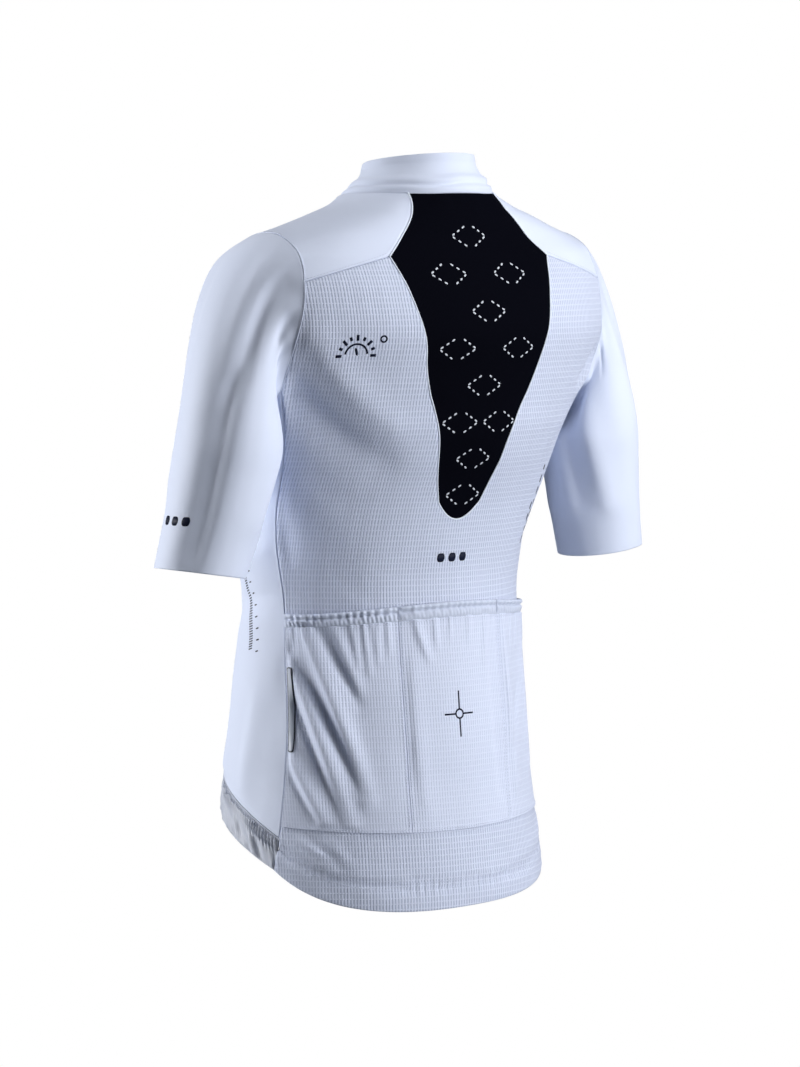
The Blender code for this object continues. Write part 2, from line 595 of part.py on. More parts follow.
def cloth(name, p, normal, material, wall=CLOTH, lift=0.0, missing=None, closed=False,
          gap=SEAM_GAP / 2):
    """A thin solid over the cells of a grid: outer face lifted off the form, inner face a wall in."""
    cells = cells_of(p, missing)
    if closed:
        cells = np.ones((p.shape[0] - 1, p.shape[1]), bool)
    base = inset(p, normal, cells, closed, gap)
    lift = np.asarray(lift, float)
    raised = lift[..., None] if lift.ndim else lift
    outer = base + normal * raised
    inner = base + normal * (raised - wall)
    rows, cols = p.shape[:2]
    points, faces, number = [], [], {}

    def vertex(side, r, c):
        key = (side, r, c % cols)
        if key not in number:
            number[key] = len(points)
            points.append(tuple((outer, inner)[side][r, c % cols]))
        return number[key]

    for r in range(cells.shape[0]):
        for c in range(cells.shape[1]):
            if not cells[r, c]:
                continue
            corners = ((r, c), (r, c + 1), (r + 1, c + 1), (r + 1, c))
            out = [vertex(0, *q) for q in corners]
            back = [vertex(1, *q) for q in corners]
            faces.extend([out[::-1], back])
            beyond = ((r - 1, c), (r, c + 1), (r + 1, c), (r, c - 1))
            for k in range(4):
                i, j = beyond[k]
                if closed:
                    j %= cells.shape[1]
                inside = 0 <= i < cells.shape[0] and 0 <= j < cells.shape[1]
                if inside and cells[i, j]:
                    continue
                m = (k + 1) % 4
                first = p[corners[k][0], corners[k][1] % cols] @ RIM_ORDER
                second = p[corners[m][0], corners[m][1] % cols] @ RIM_ORDER
                if first > second:
                    faces.extend([[out[k], out[m], back[m]], [out[k], back[m], back[k]]])
                else:
                    faces.extend([[out[k], out[m], back[k]], [out[m], back[m], back[k]]])
    return solid(name, points, faces, material)


def solid(name, points, faces, material):
    """A closed mesh object with its faces turned outwards."""
    mesh = bpy.data.meshes.new(name)
    mesh.from_pydata([tuple(map(float, q)) for q in points], [], faces)
    mesh.update()
    volume = 0.0
    for face in mesh.polygons:
        q = [np.array(mesh.vertices[i].co) for i in face.vertices]
        for k in range(1, len(q) - 1):
            volume += np.dot(q[0], np.cross(q[k], q[k + 1]))
    if volume < 0:
        mesh.flip_normals()
    mesh.materials.append(material)
    obj = bpy.data.objects.new(name, mesh)
    bpy.context.scene.collection.objects.link(obj)
    return obj


def slider(name, place, material):
    """The zip slider: a body, two lugs and the bar between them that carries the pull."""
    full = np.zeros((3, 3, 3), bool)
    full[:, 0, :] = True
    full[0, 1:, 1] = full[2, 1:, 1] = True
    full[1, 2, 1] = True
    padded = np.pad(full, 1)
    number, points, faces = {}, [], []
    grid = (SLIDER_ACROSS, SLIDER_OUT, SLIDER_DOWN)
    for cell in np.argwhere(full):
        for axis in range(3):
            for way in (0, 1):
                beyond = cell + 1
                beyond[axis] += 2 * way - 1
                if padded[tuple(beyond)]:
                    continue
                one, two = (axis + 1) % 3, (axis + 2) % 3
                face = []
                for i, j in ((0, 0), (1, 0), (1, 1), (0, 1)):
                    key = cell.copy()
                    key[axis] += way
                    key[one] += i
                    key[two] += j
                    key = tuple(key)
                    if key not in number:
                        number[key] = len(points)
                        points.append(place(*(grid[k][key[k]] for k in range(3))))
                    face.append(number[key])
                faces.append(face if way else face[::-1])
    return solid(name, points, faces, material)


def pull(name, place, material):
    """The pull: an eye round the slider's bar and a flat tail, one width throughout."""
    sides = 8
    middle = (SLIDER_OUT[2] + SLIDER_OUT[3]) / 2
    turn = [2 * pi * (k + 0.5) / sides for k in range(sides)]
    corner = 1 / cos(pi / sides)
    profile = [(middle + PULL_HOLE * corner * cos(a), PULL_HOLE * corner * sin(a)) for a in turn]
    profile += [(middle + PULL_EYE * corner * cos(a), PULL_EYE * corner * sin(a)) for a in turn]
    cells = [(k, (k + 1) % sides, sides + (k + 1) % sides, sides + k) for k in range(sides)]
    root = [sides + 1, sides + 2]
    profile += [(middle + PULL_HALF_WALL, PULL_NECK), (middle - PULL_HALF_WALL, PULL_NECK),
                (middle + PULL_HALF_WALL, PULL_TAIL), (middle - PULL_HALF_WALL, PULL_TAIL)]
    first = 2 * sides
    cells += [(root[0], root[1], first + 1, first), (first, first + 1, first + 3, first + 2)]
    points = [place(x, n, d) for x in (-PULL_HALF_WIDTH, PULL_HALF_WIDTH) for n, d in profile]
    many = len(profile)
    edges = {}
    for cell in cells:
        for k in range(4):
            a, b = cell[k], cell[(k + 1) % 4]
            edges.setdefault(frozenset((a, b)), []).append((a, b))
    faces = [list(cell) for cell in cells] + [[many + i for i in cell[::-1]] for cell in cells]
    for ways in edges.values():
        if len(ways) == 1:
            a, b = ways[0]
            faces.append([b, a, many + a, many + b])
    return solid(name, points, faces, material)


def paint(name, colour, roughness=0.8, metallic=0.0):
    material = bpy.data.materials.new(name)
    material.use_nodes = True
    shader = material.node_tree.nodes["Principled BSDF"]
    shader.inputs["Base Color"].default_value = (*colour, 1)
    shader.inputs["Roughness"].default_value = roughness
    shader.inputs["Metallic"].default_value = metallic
    return material


def shared(form_normals, free_normals):
    return unit(form_normals + free_normals)


def seam_normals(p, seam, normals):
    """Form normals of a grid, with those of a shared seam put in where its points lie."""
    found = unit(form_slope(p))
    for point, normal in zip(seam, normals):
        found[np.linalg.norm(p - point, axis=-1) < 1e-6] = normal
    return found


def pockets(back, normals, cloth_paint, binding_paint, tab_paint):
    """The three pockets, their gathered bindings and the side tab, off the back's own points."""
    rows = slice(POCKET_ROW, BASE_ROW + 1)
    mid = SIDE_COL
    places = (
        # name, columns of the back, fine columns to one of them, depth of the mouth, ridges
        ("left", slice(mid + DIVIDER_COL, None), 3, 0.0030, POCKET_RIDGES),
        ("centre", slice(mid - DIVIDER_COL, mid + DIVIDER_COL + 1), 1, 0.0032, CENTRE_RIDGES),
        ("right", slice(0, mid - DIVIDER_COL + 1), 2, 0.0018, RIGHT_RIDGES))
    for name, cols, cut, depth, ridges in places:
        p = finer(back[rows, cols], FINE_ROWS, cut)
        n = unit(finer(normals[rows, cols], FINE_ROWS, cut))
        if name == "right":
            lift = pocket_stand_off(p[:, ::-1], depth, ridges)[:, ::-1]
        else:
            lift = pocket_stand_off(p, depth, ridges)
        lift = lift + SEAM_GAP + CLOTH
        cloth("pocket_" + name, p[1:], n[1:], cloth_paint, lift=lift[1:])
        many = GATHERS // cut if name != "centre" else GATHERS // 2
        strip = finer(p[:2], 2, many)
        strip_n = unit(finer(n[:2], 2, many))
        strip_lift = finer(lift[:2, :, None], 2, many)[..., 0] + (BINDING_WALL - CLOTH) / 2
        wave = (np.arange(strip.shape[1]) % 2) * GATHER_DEPTH
        wave[0] = wave[-1] = 0
        cloth("pocket_binding_" + name, strip, strip_n, binding_paint, wall=BINDING_WALL,
              lift=np.maximum(strip_lift + wave, SEAM_GAP + BINDING_WALL))
        if name == "left":
            at = (slice(TAB_ROWS[0], TAB_ROWS[1] + 1), slice(-1 - TAB_COLS, None))
            cloth("side_tab", p[at], n[at], tab_paint, wall=TAB_WALL, gap=TAB_INSET,
                  lift=lift[at] + 2 * SEAM_GAP + TAB_WALL)


def hem_band(front, back):
    """The left gripper band, from the front's lower edge to the hem."""
    top = front[-1]
    side = back[BASE_ROW + 1:, -1]
    low = on_form(zip_point(FRONT_HEM_Z), side[-1], len(top) - 1, 2.0)
    low[0], low[-1] = zip_point(FRONT_HEM_Z), side[-1]
    half = np.array([zip_point(z) for z in np.linspace(top[0][2], FRONT_HEM_Z, len(side))])
    p = coons(top, low, half, side)
    p[1, 1:-1] = snap(p[1, 1:-1])
    return p


def main():
    for old in list(bpy.data.objects):
        bpy.data.objects.remove(old, do_unlink=True)
    mid = SIDE_COL
    back = back_grid()
    yoke = yoke_grid(back)
    front = front_grid(back, yoke)
    sleeve = sleeve_grid()
    insert = back[:TIP_ROW + 1, mid - INSERT_COLS:mid + INSERT_COLS + 1]
    half_neck = np.concatenate([insert[0, INSERT_COLS:], yoke[1:, 0], front[0, NECK_COLS - 1::-1]])
    neck = np.concatenate([mirrored(half_neck[:0:-1]), half_neck])
    collar = collar_grid(neck)
    band = hem_band(front, back)

    # Normals that two pieces share at a seam where the cloth turns.
    sleeve_n = grid_normals(sleeve, True)
    collar_n = grid_normals(collar)
    arm_n = shared(unit(form_slope(sleeve[0])), sleeve_n[0])
    neck_n = shared(unit(form_slope(neck)), collar_n[0])
    sleeve_n[0] = arm_n
    collar_n[0] = neck_n
    seam = np.concatenate([sleeve[0], mirrored(sleeve[0]), neck])
    seam_n = np.concatenate([arm_n, mirrored(arm_n), neck_n])
    back_n = seam_normals(back, seam, seam_n)
    yoke_n = seam_normals(yoke, seam, seam_n)
    front_n = seam_normals(front, seam, seam_n)

    white = paint("smooth_white", WHITE)
    mesh_white = paint("grid_knit_white", MESH_WHITE)
    black = paint("insert_black", BLACK)
    elastic = paint("binding_white", WHITE, 0.7)
    grey = paint("tab_grey", GREY, 0.4)
    metal = paint("zip_metal", METAL, 0.35, 0.8)
    chain = paint("zip_white", WHITE, 0.5)

    cloth("back_panel", back[CORNER_ROW:], back_n[CORNER_ROW:], mesh_white,
          missing=(slice(0, TIP_ROW - CORNER_ROW), slice(mid - INSERT_COLS, mid + INSERT_COLS)))
    cloth("back_insert", insert, back_n[:TIP_ROW + 1, mid - INSERT_COLS:mid + INSERT_COLS + 1], black)
    cloth("collar", collar, collar_n, white)
    missing = (slice(0, ARM_FRONT[2]), slice(NECK_COLS + yoke.shape[1] - 1, None))
    fine_band = finer(band, 1, 2)
    ruche = np.zeros(fine_band.shape[:2])
    ruche[1:-1, 1:-1] = (np.arange(fine_band.shape[1] - 2) % 2) * BAND_RUCHE
    for side, turn in (("left", np.array([1, 1, 1])), ("right", np.array([-1, 1, 1]))):
        cloth("yoke_" + side, yoke * turn, yoke_n * turn, white)
        cloth("front_" + side, front * turn, front_n * turn, white, missing=missing)
        cloth("sleeve_" + side, sleeve * turn, sleeve_n * turn, white, closed=True)
        cloth("hem_band_" + side, fine_band * turn, unit(form_slope(fine_band)) * turn, white,
              lift=ruche)
    pockets(back, back_n, mesh_white, elastic, grey)

    # The zip runs up the front edges, from the hem through the front to the collar's top.
    edge = np.concatenate([band[:0:-1, 0], front[::-1, 0], collar[1:, -1]])
    edge_n = np.concatenate([unit(form_slope(band[:0:-1, 0])), front_n[::-1, 0], collar_n[1:, -1]])
    strip = np.stack([mirrored(edge), edge], axis=1)
    strip_n = np.stack([mirrored(edge_n), edge_n], axis=1)
    cloth("zip_chain", strip, strip_n, chain)
    top, low = collar[-1, -1] * (0, 1, 1), collar[2, -1] * (0, 1, 1)
    down = unit(low - top)
    out = np.array([0, down[2], -down[1]])
    outer = [(p * (0, 1, 1) - top) @ out for p in collar[2:, -1]]
    start = top + down * SLIDER_DROP + out * (max(outer) + 2 * SEAM_GAP)

    def place(across, away, along):
        return start + np.array([across, 0, 0]) + out * away + down * along

    slider("zip_slider", place, metal)
    pull("zip_pull", place, metal)


if __name__ == "__main__":
    main()
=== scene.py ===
"""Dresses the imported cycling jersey: sewn cloth, gathers, stitching, marks, zip, finishes, stage.

Metres, +Z up, the front faces -Y and the wearer's left is +X. The origin is the middle of the
neck opening at the height of the collar seam. Each cloth piece is a fine grid of points on the
jersey's body form, moved out or in for its folds and seams and closed to a thin wall, so the
pieces keep the seams of the solids that they stand for.
"""
from functools import lru_cache
from math import cos, pi, radians, sin, tau

import bpy
import numpy as np
from bpy.props import FloatProperty, FloatVectorProperty, PointerProperty
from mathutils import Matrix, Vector
from mathutils.bvhtree import BVHTree


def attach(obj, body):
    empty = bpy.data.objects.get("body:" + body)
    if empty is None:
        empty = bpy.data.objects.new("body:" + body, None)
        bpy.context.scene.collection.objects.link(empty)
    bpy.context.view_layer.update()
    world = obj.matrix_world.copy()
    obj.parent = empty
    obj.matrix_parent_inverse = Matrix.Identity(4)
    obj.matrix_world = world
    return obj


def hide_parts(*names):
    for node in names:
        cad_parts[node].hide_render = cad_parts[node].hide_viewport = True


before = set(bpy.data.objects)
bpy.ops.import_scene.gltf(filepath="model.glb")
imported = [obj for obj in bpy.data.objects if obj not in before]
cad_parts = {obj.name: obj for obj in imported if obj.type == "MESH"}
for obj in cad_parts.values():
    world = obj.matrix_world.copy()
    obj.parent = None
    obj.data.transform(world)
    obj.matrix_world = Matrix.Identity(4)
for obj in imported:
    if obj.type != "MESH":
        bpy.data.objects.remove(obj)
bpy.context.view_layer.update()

bl_info = {
    "name": "Cycling jersey dresser",
    "version": (1, 0, 0),
    "blender": (4, 5, 0),
    "location": "3D View > Sidebar > Jersey",
    "description": "Dresses the packed jersey with sewn cloth, trims, finishes and a plain stage",
    "category": "Object",
}

# ---------------- driving sizes of the garment
SEAM_GAP = 0.0003       # clear gap between two sewn pieces
NECK_RADIUS = 0.0728    # collar seam, from the neck's middle
FRONT_EDGE = 0.0035     # half the distance between the two front edges at the zip
DIVIDER_X = 0.0585      # pocket dividers, from the centre back
HEM_TILT = 0.035        # the hem hangs lower on the left, metres per metre across


def millimetres(rows):
    """A table of lengths in millimetres, in metres."""
    return np.array(rows) / 1000


# The body form: an ellipse at each height, with its own depth behind and in front of its middle.
FORM = millimetres([
    # z, half width, middle y, depth behind, depth in front
    (30, 50, 3, 48, 44),
    (10, 65, 3, 63, 58),
    (0, 75.5, 2, 71, 64),
    (-11.3, 96, 8, 68, 68),
    (-20.5, 122, 6, 73.5, 72),
    (-30, 149, 1, 81, 75),
    (-40, 180, -4, 87, 77.5),
    (-58.5, 218, -11, 103, 81),
    (-90, 230, -20, 127.5, 86),
    (-126.7, 227, -26.8, 143.2, 92),
    (-157, 215, -26.2, 137.2, 98),
    (-176, 204, -22.5, 129.5, 104),
    (-210, 181, -19, 120, 112),
    (-242, 169, -26, 118, 115.5),
    (-271, 163, -34, 113, 116.5),
    (-295, 157, -39.5, 109.5, 116),
    (-314, 152, -44, 109, 114.5),
    (-351.5, 146, -51, 109, 113),
    (-380, 142, -54, 112, 114),
    (-427, 144, -56.5, 118, 120),
    (-484, 147, -59.5, 128, 130),
    (-540, 152.5, -58.5, 132.5, 136),
    (-590, 158, -54.5, 134, 140),
    (-630, 162, -49, 132, 138),
    (-690, 165, -45, 130, 135)])[::-1]

# Edge of the black insert, from the collar seam out to the yoke corner and in to the rounded tip.
INSERT_EDGE = millimetres([
    # z, x
    (0, 49.6), (-13, 55), (-25.5, 62.2), (-44, 79), (-58, 94),
    (-85, 85.3), (-111, 78.5), (-140, 70.7), (-169, 63.7), (-195, 53.6),
    (-224.5, 42), (-265, 32.7), (-288, 24.5)])[::-1]
INSERT_TIP_DROP = 0.017     # how far the tip hangs below the ends of its side edges
INSERT_SHIFT = 0.0035       # the tapered part lies a little to the left

# The armhole seam, once round: over the shoulder, down the back, under the arm, up the front.
ARMHOLE = millimetres([
    # x, y, z
    (166.5, -30, -43), (168.5, -8, -38), (170, 14, -38.5),
    (173, 40, -47.5), (174, 52.5, -57.5), (174.5, 58, -69),
    (176.5, 61.8, -80), (178.5, 63.4, -108), (181, 60, -124),
    (183, 51, -148), (183, 39, -170), (182, 32, -181),
    (181, 18, -193), (180.5, -3, -200), (177, -24, -195),
    (170, -41, -178), (163, -49, -158), (157, -52.5, -125),
    (156, -51, -95), (160, -43, -62)])
ARM_YOKE = (0, 6, 8)        # first and last row of the table on a piece, then its seam steps
ARM_BACK = (6, 11, 5)
ARM_UNDER = (11, 16, 4)
ARM_FRONT = (16, 20, 6)

# The seam between back and front, below the armhole.
SIDE_SEAM = millimetres([
    # z, y
    (-181, 32), (-214, 20), (-245, 8), (-279, -7),
    (-310, -20.5), (-343, -25), (-390, -23.5), (-440, -20.5),
    (-520, -14), (-592, -12), (-632.6, -14.5)])[::-1]

# Rows of the back from the collar seam to the hem, and its columns from the centre out.
CORNER_ROW, UNDERARM_ROW, TIP_ROW, POCKET_ROW, BASE_ROW, HEM_ROW = 3, 8, 11, 14, 24, 27
INSERT_ROWS = millimetres([0, -18, -38, -58, -84, -110, -136, -161, -187, -222, -256, -288])
CENTRE_HEIGHTS = (-0.305, -0.383, -0.5965, -0.669)  # of the tip, pocket, base and hem rows
SIDE_HEIGHTS = (-0.288, -0.393, -0.592)             # of the tip, pocket and base rows
BAND_TOP_Z, SIDE_HEM_Z = -0.6025, -0.6326
INSERT_COLS, DIVIDER_COL, SIDE_COL = 3, 5, 11
INSERT_EDGES = [SIDE_COL - INSERT_COLS, SIDE_COL + INSERT_COLS]     # columns of the whole back
DIVIDERS = [SIDE_COL - DIVIDER_COL, SIDE_COL + DIVIDER_COL]

# The front: columns from the zip, rows from the collar seam down.
NECK_COLS = 4
FORWARD_ANGLE = radians(130)    # where the forward seam meets the collar, from the centre back
INSERT_ANGLE = radians(43)      # where the insert's edge meets the collar
SIDE_NECK_DROP, FRONT_NECK_DROP = 0.004, 0.022
CHEST_DROP = 0.010              # the chest row at the zip, below the front end of the armhole
FRONT_HEM_Z, FRONT_BAND = -0.5780, 0.0430

# The left sleeve: rings round the arm below the armhole.
SLEEVE_RINGS = millimetres([
    # x, y, z, reach out and in, reach front and back, tilt (the inner side hangs lower)
    (220, 1, -235, 45.5, 49, 8),
    (231, -6, -302, 45, 46, 7),
    (242.5, -12, -348.7, 42, 43, 6.5)])
SLEEVE_STEPS = (7, 3, 2)        # rows down to each ring
CAP_LEAN = np.array([0.0, -0.25, 0.0])          # the sleeve cap is cut towards the front
CAP_FULLNESS, CAP_LEAST = 0.86, 0.06
UNDERARM_WAY = np.array([1.0, 0.0, -0.25])      # how the sleeve leaves the bottom of the armhole

# The collar: share of the height, ring radius and how far back the ring's middle lies.
COLLAR = np.array([
    (0.00, 0.0728, 0.0000),
    (0.25, 0.0685, 0.0020),
    (0.50, 0.0598, 0.0035),
    (0.75, 0.0548, 0.0042),
    (1.00, 0.0528, 0.0045)])
COLLAR_TOP, COLLAR_SLOPE, COLLAR_FRONT_DROP = 0.0378, 0.0066, 0.0110
POCKET_DEPTH = {"left": 0.0030, "centre": 0.0032, "right": 0.0018}    # at each pocket's mouth

# ---------------- folds, by cloth coordinates
# Each runs from one place of the cloth to another: across is measured round the form from the
# centre back, positive to the wearer's left. A rise below zero is a trough.
LEFT_POCKET_FOLDS = millimetres([
    # across, z, across, z, bow, rise, spread
    (150, -402, 103, -562, -3, 4, 8.2),
    (162, -440, 120, -592, -1.5, 3.8, 8),
    (175, -516, 144, -584, 0, 3.4, 7.5),
    (121, -404, 101.5, -462, 0, 1.8, 5),
    (164, -426, 105, -560, -2, -2.4, 6.2),
    (135, -406, 103, -476, 0, -1.2, 5),
    (162, -480, 124, -584, 0, -2.2, 6.2),
    (175, -538, 151, -584, 0, -1.2, 4.5),
    (104.8, -398, 100, -440, 0, 1, 3.2),
    (94, -398, 90.5, -446, 0, 0.9, 3.2),
    (83, -398, 81.5, -436, 0, 0.9, 3),
    (71.8, -398, 70.5, -428, 0, 0.8, 3)])
CENTRE_POCKET_FOLDS = millimetres([
    (45, -390, 33, -434, 2, 1.3, 4.5),
    (25.5, -392, 23.5, -424, 0, 0.8, 3.5),
    (8, -392, 9, -416, 0, 0.6, 3.2),
    (-15, -392, -13, -418, 0, 0.7, 3.5),
    (-38, -390, -33, -440, 0, 1.1, 4.2),
    (48, -440, 44, -575, 3, 1.1, 8),
    (-44, -450, -48, -560, 0, -1, 8)])
RIGHT_POCKET_FOLDS = millimetres([
    (-69, -392, -76, -560, 2, 2.4, 8.5),
    (-94, -470, -72, -532, 0, -1.4, 6),
    (-115, -410, -118, -540, 2, 1.8, 9.5),
    (-86, -396, -84, -440, 0, 0.9, 3.5),
    (-101, -396, -99, -432, 0, 0.8, 3.2),
    (-132, -398, -129, -436, 0, 0.9, 3.4),
    (-148, -400, -144, -470, 0, 1.3, 5)])
BACK_FOLDS = millimetres([
    (176, -138, 94, -214, 6, 2.6, 13),
    (100, -246, 188, -182, -7, -5.2, 17),
    (190, -300, 156, -352, 3, -1.6, 11),
    (172, -250, 120, -282, 2, -1, 14),
    (164, -318, 115, -342, 2, -0.9, 13),
    (130, -352, 90, -372, 0, -0.7, 9),
    (-198, -146, -156, -176, 2, -1.9, 6),
    (-193, -164, -160, -190, 2, 1.5, 6),
    (-176, -214, -126, -248, 3, -1.3, 13),
    (-160, -318, -110, -346, 2, -1.1, 12),
    (166, -604, 138, -622, 0, 1.3, 4),
    (156, -602, 130, -628, 0, -1.1, 3.6),
    (140, -604, 122, -624, 0, 0.9, 3.6),
    (-150, -600, -128, -622, 0, 1, 4)])
FRONT_FOLDS = millimetres([
    (208, -196, 276, -252, 6, -3, 11),
    (208, -214, 264, -286, 5, 2.4, 11),
    (246, -186, 316, -214, 5, -2.2, 12),
    (214, -296, 290, -330, 4, -2.4, 12),
    (200, -336, 276, -366, 4, 2, 11),
    (196, -380, 268, -398, 3, -1.8, 11),
    (214, -480, 242, -590, 2, 1.6, 12),
    (280, -520, 304, -586, 0, 1.4, 11)])
# Folds of a sleeve by angle round the arm in degrees (0 outside, 90 behind) and height, with
# lengths in millimetres.
SLEEVE_FOLDS = np.array([
    # angle, z, angle, z, rise, spread in degrees
    (68, -96, 42, -200, -3, 18),
    (44, -176, 41, -352, -2.8, 13),
    (96, -74, 84, -160, 0.8, 11),
    (112, -86, 106, -130, -1.1, 7),
    (124, -104, 114, -150, 0.6, 8),
    (131, -126, 120, -172, -0.9, 6),
    (150, -190, 118, -300, 2.4, 14),
    (176, -200, 150, -300, -2.6, 12),
    (250, -90, 270, -230, -3, 18),
    (214, -196, 236, -300, 2.6, 13),
    (292, -110, 318, -260, 2.2, 16)]) / (1, 1000, 1, 1000, 1000, 1)


# ---------------- how finely the cloth is made
FINE = 6                # fine lines to one line of the solids
BESIDE = 0.055          # one more line this far beside each seam, in lines of the solids
SLEEVE_FINE = 8         # the sleeve's rings to one of the solid's
COLLAR_SHARES = np.concatenate([[0, 0.03], np.linspace(0.07, 0.95, 23), [0.98, 1.0]])


# ---------------- curves and the body form
def smooth_table(table, at):
    """Columns of an ascending table at the given first-column values, without overshoot."""
    at = np.asarray(at, float)
    xs, ys = table[:, 0], table[:, 1:]
    step = np.diff(xs)[:, None]
    rise = np.diff(ys, axis=0) / step
    same = rise[:-1] * rise[1:] > 0
    share_in = (2 * step[1:] + step[:-1]) / np.where(same, rise[:-1], 1.0)
    share_out = (step[1:] + 2 * step[:-1]) / np.where(same, rise[1:], 1.0)
    turning = 3 * (step[1:] + step[:-1]) / np.where(same, share_in + share_out, 1.0)
    slope = np.concatenate([rise[:1], np.where(same, turning, 0.0), rise[-1:]])
    k = np.clip(np.searchsorted(xs, at, side="right") - 1, 0, len(xs) - 2)
    width = (xs[k + 1] - xs[k])[..., None]
    t = np.clip((at - xs[k])[..., None] / width, 0, 1)
    return hermite(ys[k], ys[k + 1], slope[k] * width, slope[k + 1] * width, t)


def hermite(a, b, slope_a, slope_b, t):
    """A smooth curve between two points, with its slope at each."""
    return ((1 + 2 * t) * (1 - t) ** 2 * a + t * t * (3 - 2 * t) * b
            + t * (1 - t) ** 2 * slope_a + t * t * (t - 1) * slope_b)


def smooth_step(value, start, end):
    t = np.clip((value - start) / (end - start), 0, 1)
    return t * t * (3 - 2 * t)


def hump(value, middle, width):
    """One at the middle, fading to nothing on both sides."""
    return np.exp(-((value - middle) / width) ** 2)


def summed(steps):
    return np.concatenate([[0], np.cumsum(steps)])


def form_at(z):
    """The form's half width, middle, and depths behind and in front of it, at some heights."""
    return np.moveaxis(smooth_table(FORM, z), -1, 0)


def off_form(p):
    """Below zero inside the body form, zero on it."""
    half, middle, back, front = form_at(p[..., 2])
    dy = p[..., 1] - middle
    depth = np.where(dy > 0, back, front)
    return (p[..., 0] / half) ** 2 + (dy / depth) ** 2 - 1


def form_slope(p):
    step = 1e-4
    parts = [(off_form(p + axis) - off_form(p - axis)) / (2 * step) for axis in np.eye(3) * step]
    return np.stack(parts, axis=-1)


def unit(v):
    return v / np.maximum(np.linalg.norm(v, axis=-1, keepdims=True), 1e-12)


def snap(p, passes=6):
    """The nearest points on the body form."""
    for _ in range(passes):
        g = form_slope(p)
        p = p - off_form(p)[..., None] * g / np.maximum((g * g).sum(-1, keepdims=True), 1e-9)
    return p


def length_run(path):
    """The length of a polyline up to each of its points."""
    return summed(np.linalg.norm(np.diff(path, axis=0), axis=1))


def values_at(at, run, grid):
    """Rows of a three-column grid, read at some lengths along it."""
    return np.stack([np.interp(at, run, grid[:, k]) for k in range(3)], axis=-1)


def evenly(curve, steps):
    """Points at equal distances along a polyline."""
    run = length_run(curve)
    return values_at(np.linspace(0, run[-1], steps + 1), run, curve)


def catmull(p0, p1, p2, p3, t):
    """A smooth curve from the second of four points to the third."""
    bend, twist = 2 * p0 - 5 * p1 + 4 * p2 - p3, 3 * (p1 - p2) + p3 - p0
    return p1 + 0.5 * t * (p2 - p0 + t * (bend + t * twist))


def arm_part(part):
    """Seam points of one stretch of the armhole, ends included."""
    first, last, steps = part
    fine = 12
    t = (np.arange(fine) / fine)[None, :, None]
    corners = (np.roll(ARMHOLE, k, 0)[:, None, :] for k in (1, 0, -1, -2))
    curve = catmull(*corners, t).reshape(-1, 3)
    curve = np.concatenate([curve, curve[:1]])
    return snap(evenly(curve[first * fine:last * fine + 1], steps))


def neck_points(start, end, steps):
    """Points of the collar seam; the angle runs from the centre back to the wearer's left."""
    angle = np.linspace(start, end, steps + 1)
    back = np.cos(angle)
    z = -SIDE_NECK_DROP * (1 - back) - FRONT_NECK_DROP * np.maximum(0, -back) ** 3
    return snap(np.stack([NECK_RADIUS * np.sin(angle), NECK_RADIUS * back, z], -1))


ZIP_ANGLE = pi - FRONT_EDGE / NECK_RADIUS


def form_point(across, z):
    """A point of the form at an ellipse angle from the centre back."""
    half, middle, back, front = form_at(z)
    depth = np.where(np.cos(across) > 0, back, front)
    return np.stack([half * np.sin(across), middle + depth * np.cos(across), z + 0 * across], -1)


def form_angle(p):
    half, middle, back, front = form_at(p[..., 2])
    dy = p[..., 1] - middle
    return np.arctan2(p[..., 0] / half, dy / np.where(dy > 0, back, front))


def on_form(start, end, t, power=1.0):
    """A curve on the form between two points; its height changes with the angle to a power."""
    a0, a1 = form_angle(start), form_angle(end)
    return form_point(a0 + (a1 - a0) * t, start[2] + (end[2] - start[2]) * t ** power)


def cut_line(start, end, t):
    """A curve on the form that leaves its start level and ends at the two points themselves."""
    line = on_form(start, end, t, 2.0)
    line[0], line[-1] = start, end
    return line


def shares(count):
    return np.linspace(0, 1, count + 1)


def relax(p, fixed, passes=20):
    """Even out a grid on the form; fixed points and missing ones stay."""
    for _ in range(passes):
        mean = p.copy()
        mean[1:-1, 1:-1] = (p[:-2, 1:-1] + p[2:, 1:-1] + p[1:-1, :-2] + p[1:-1, 2:]) / 4
        p = np.where(fixed[..., None], p, snap(mean, 2))
    return p


def laid_on_form(p, fixed, passes):
    """A filled-in grid snapped to the form and evened out; its edges and fixed points stay."""
    fixed[[0, -1]] = fixed[:, [0, -1]] = True
    return relax(np.where(fixed[..., None], p, snap(p)), fixed, passes)


def coons(top, bottom, first, last, u=None, v=None):
    """A grid filled in from its four edges."""
    v = (shares(len(first) - 1) if v is None else v)[:, None, None]
    u = (shares(len(top) - 1) if u is None else u)[None, :, None]
    p = (1 - v) * top + v * bottom + (1 - u) * first[:, None] + u * last[:, None]
    p -= (1 - v) * ((1 - u) * top[0] + u * top[-1]) + v * ((1 - u) * bottom[0] + u * bottom[-1])
    return p


def mirrored(p):
    return p * np.array([-1, 1, 1])


def grid_quads(index):
    """The corner numbers of every cell of a grid of numbers."""
    corners = index[:-1, :-1], index[:-1, 1:], index[1:, 1:], index[1:, :-1]
    return np.stack(corners, -1).reshape(-1, 4)


# ---------------- the seam lines of the solids
def side_points(z):
    y = smooth_table(SIDE_SEAM, z)[:, 0]
    half, middle, back, front = form_at(z)
    depth = np.where(y > middle, back, front)
    return np.stack([half * (1 - ((y - middle) / depth) ** 2) ** 0.5, y, z], -1)


def insert_points(z):
    x = smooth_table(INSERT_EDGE, z)[:, 0]
    half, middle, back, _ = form_at(z)
    return np.stack([x, middle + back * (1 - (x / half) ** 2) ** 0.5, z], -1)


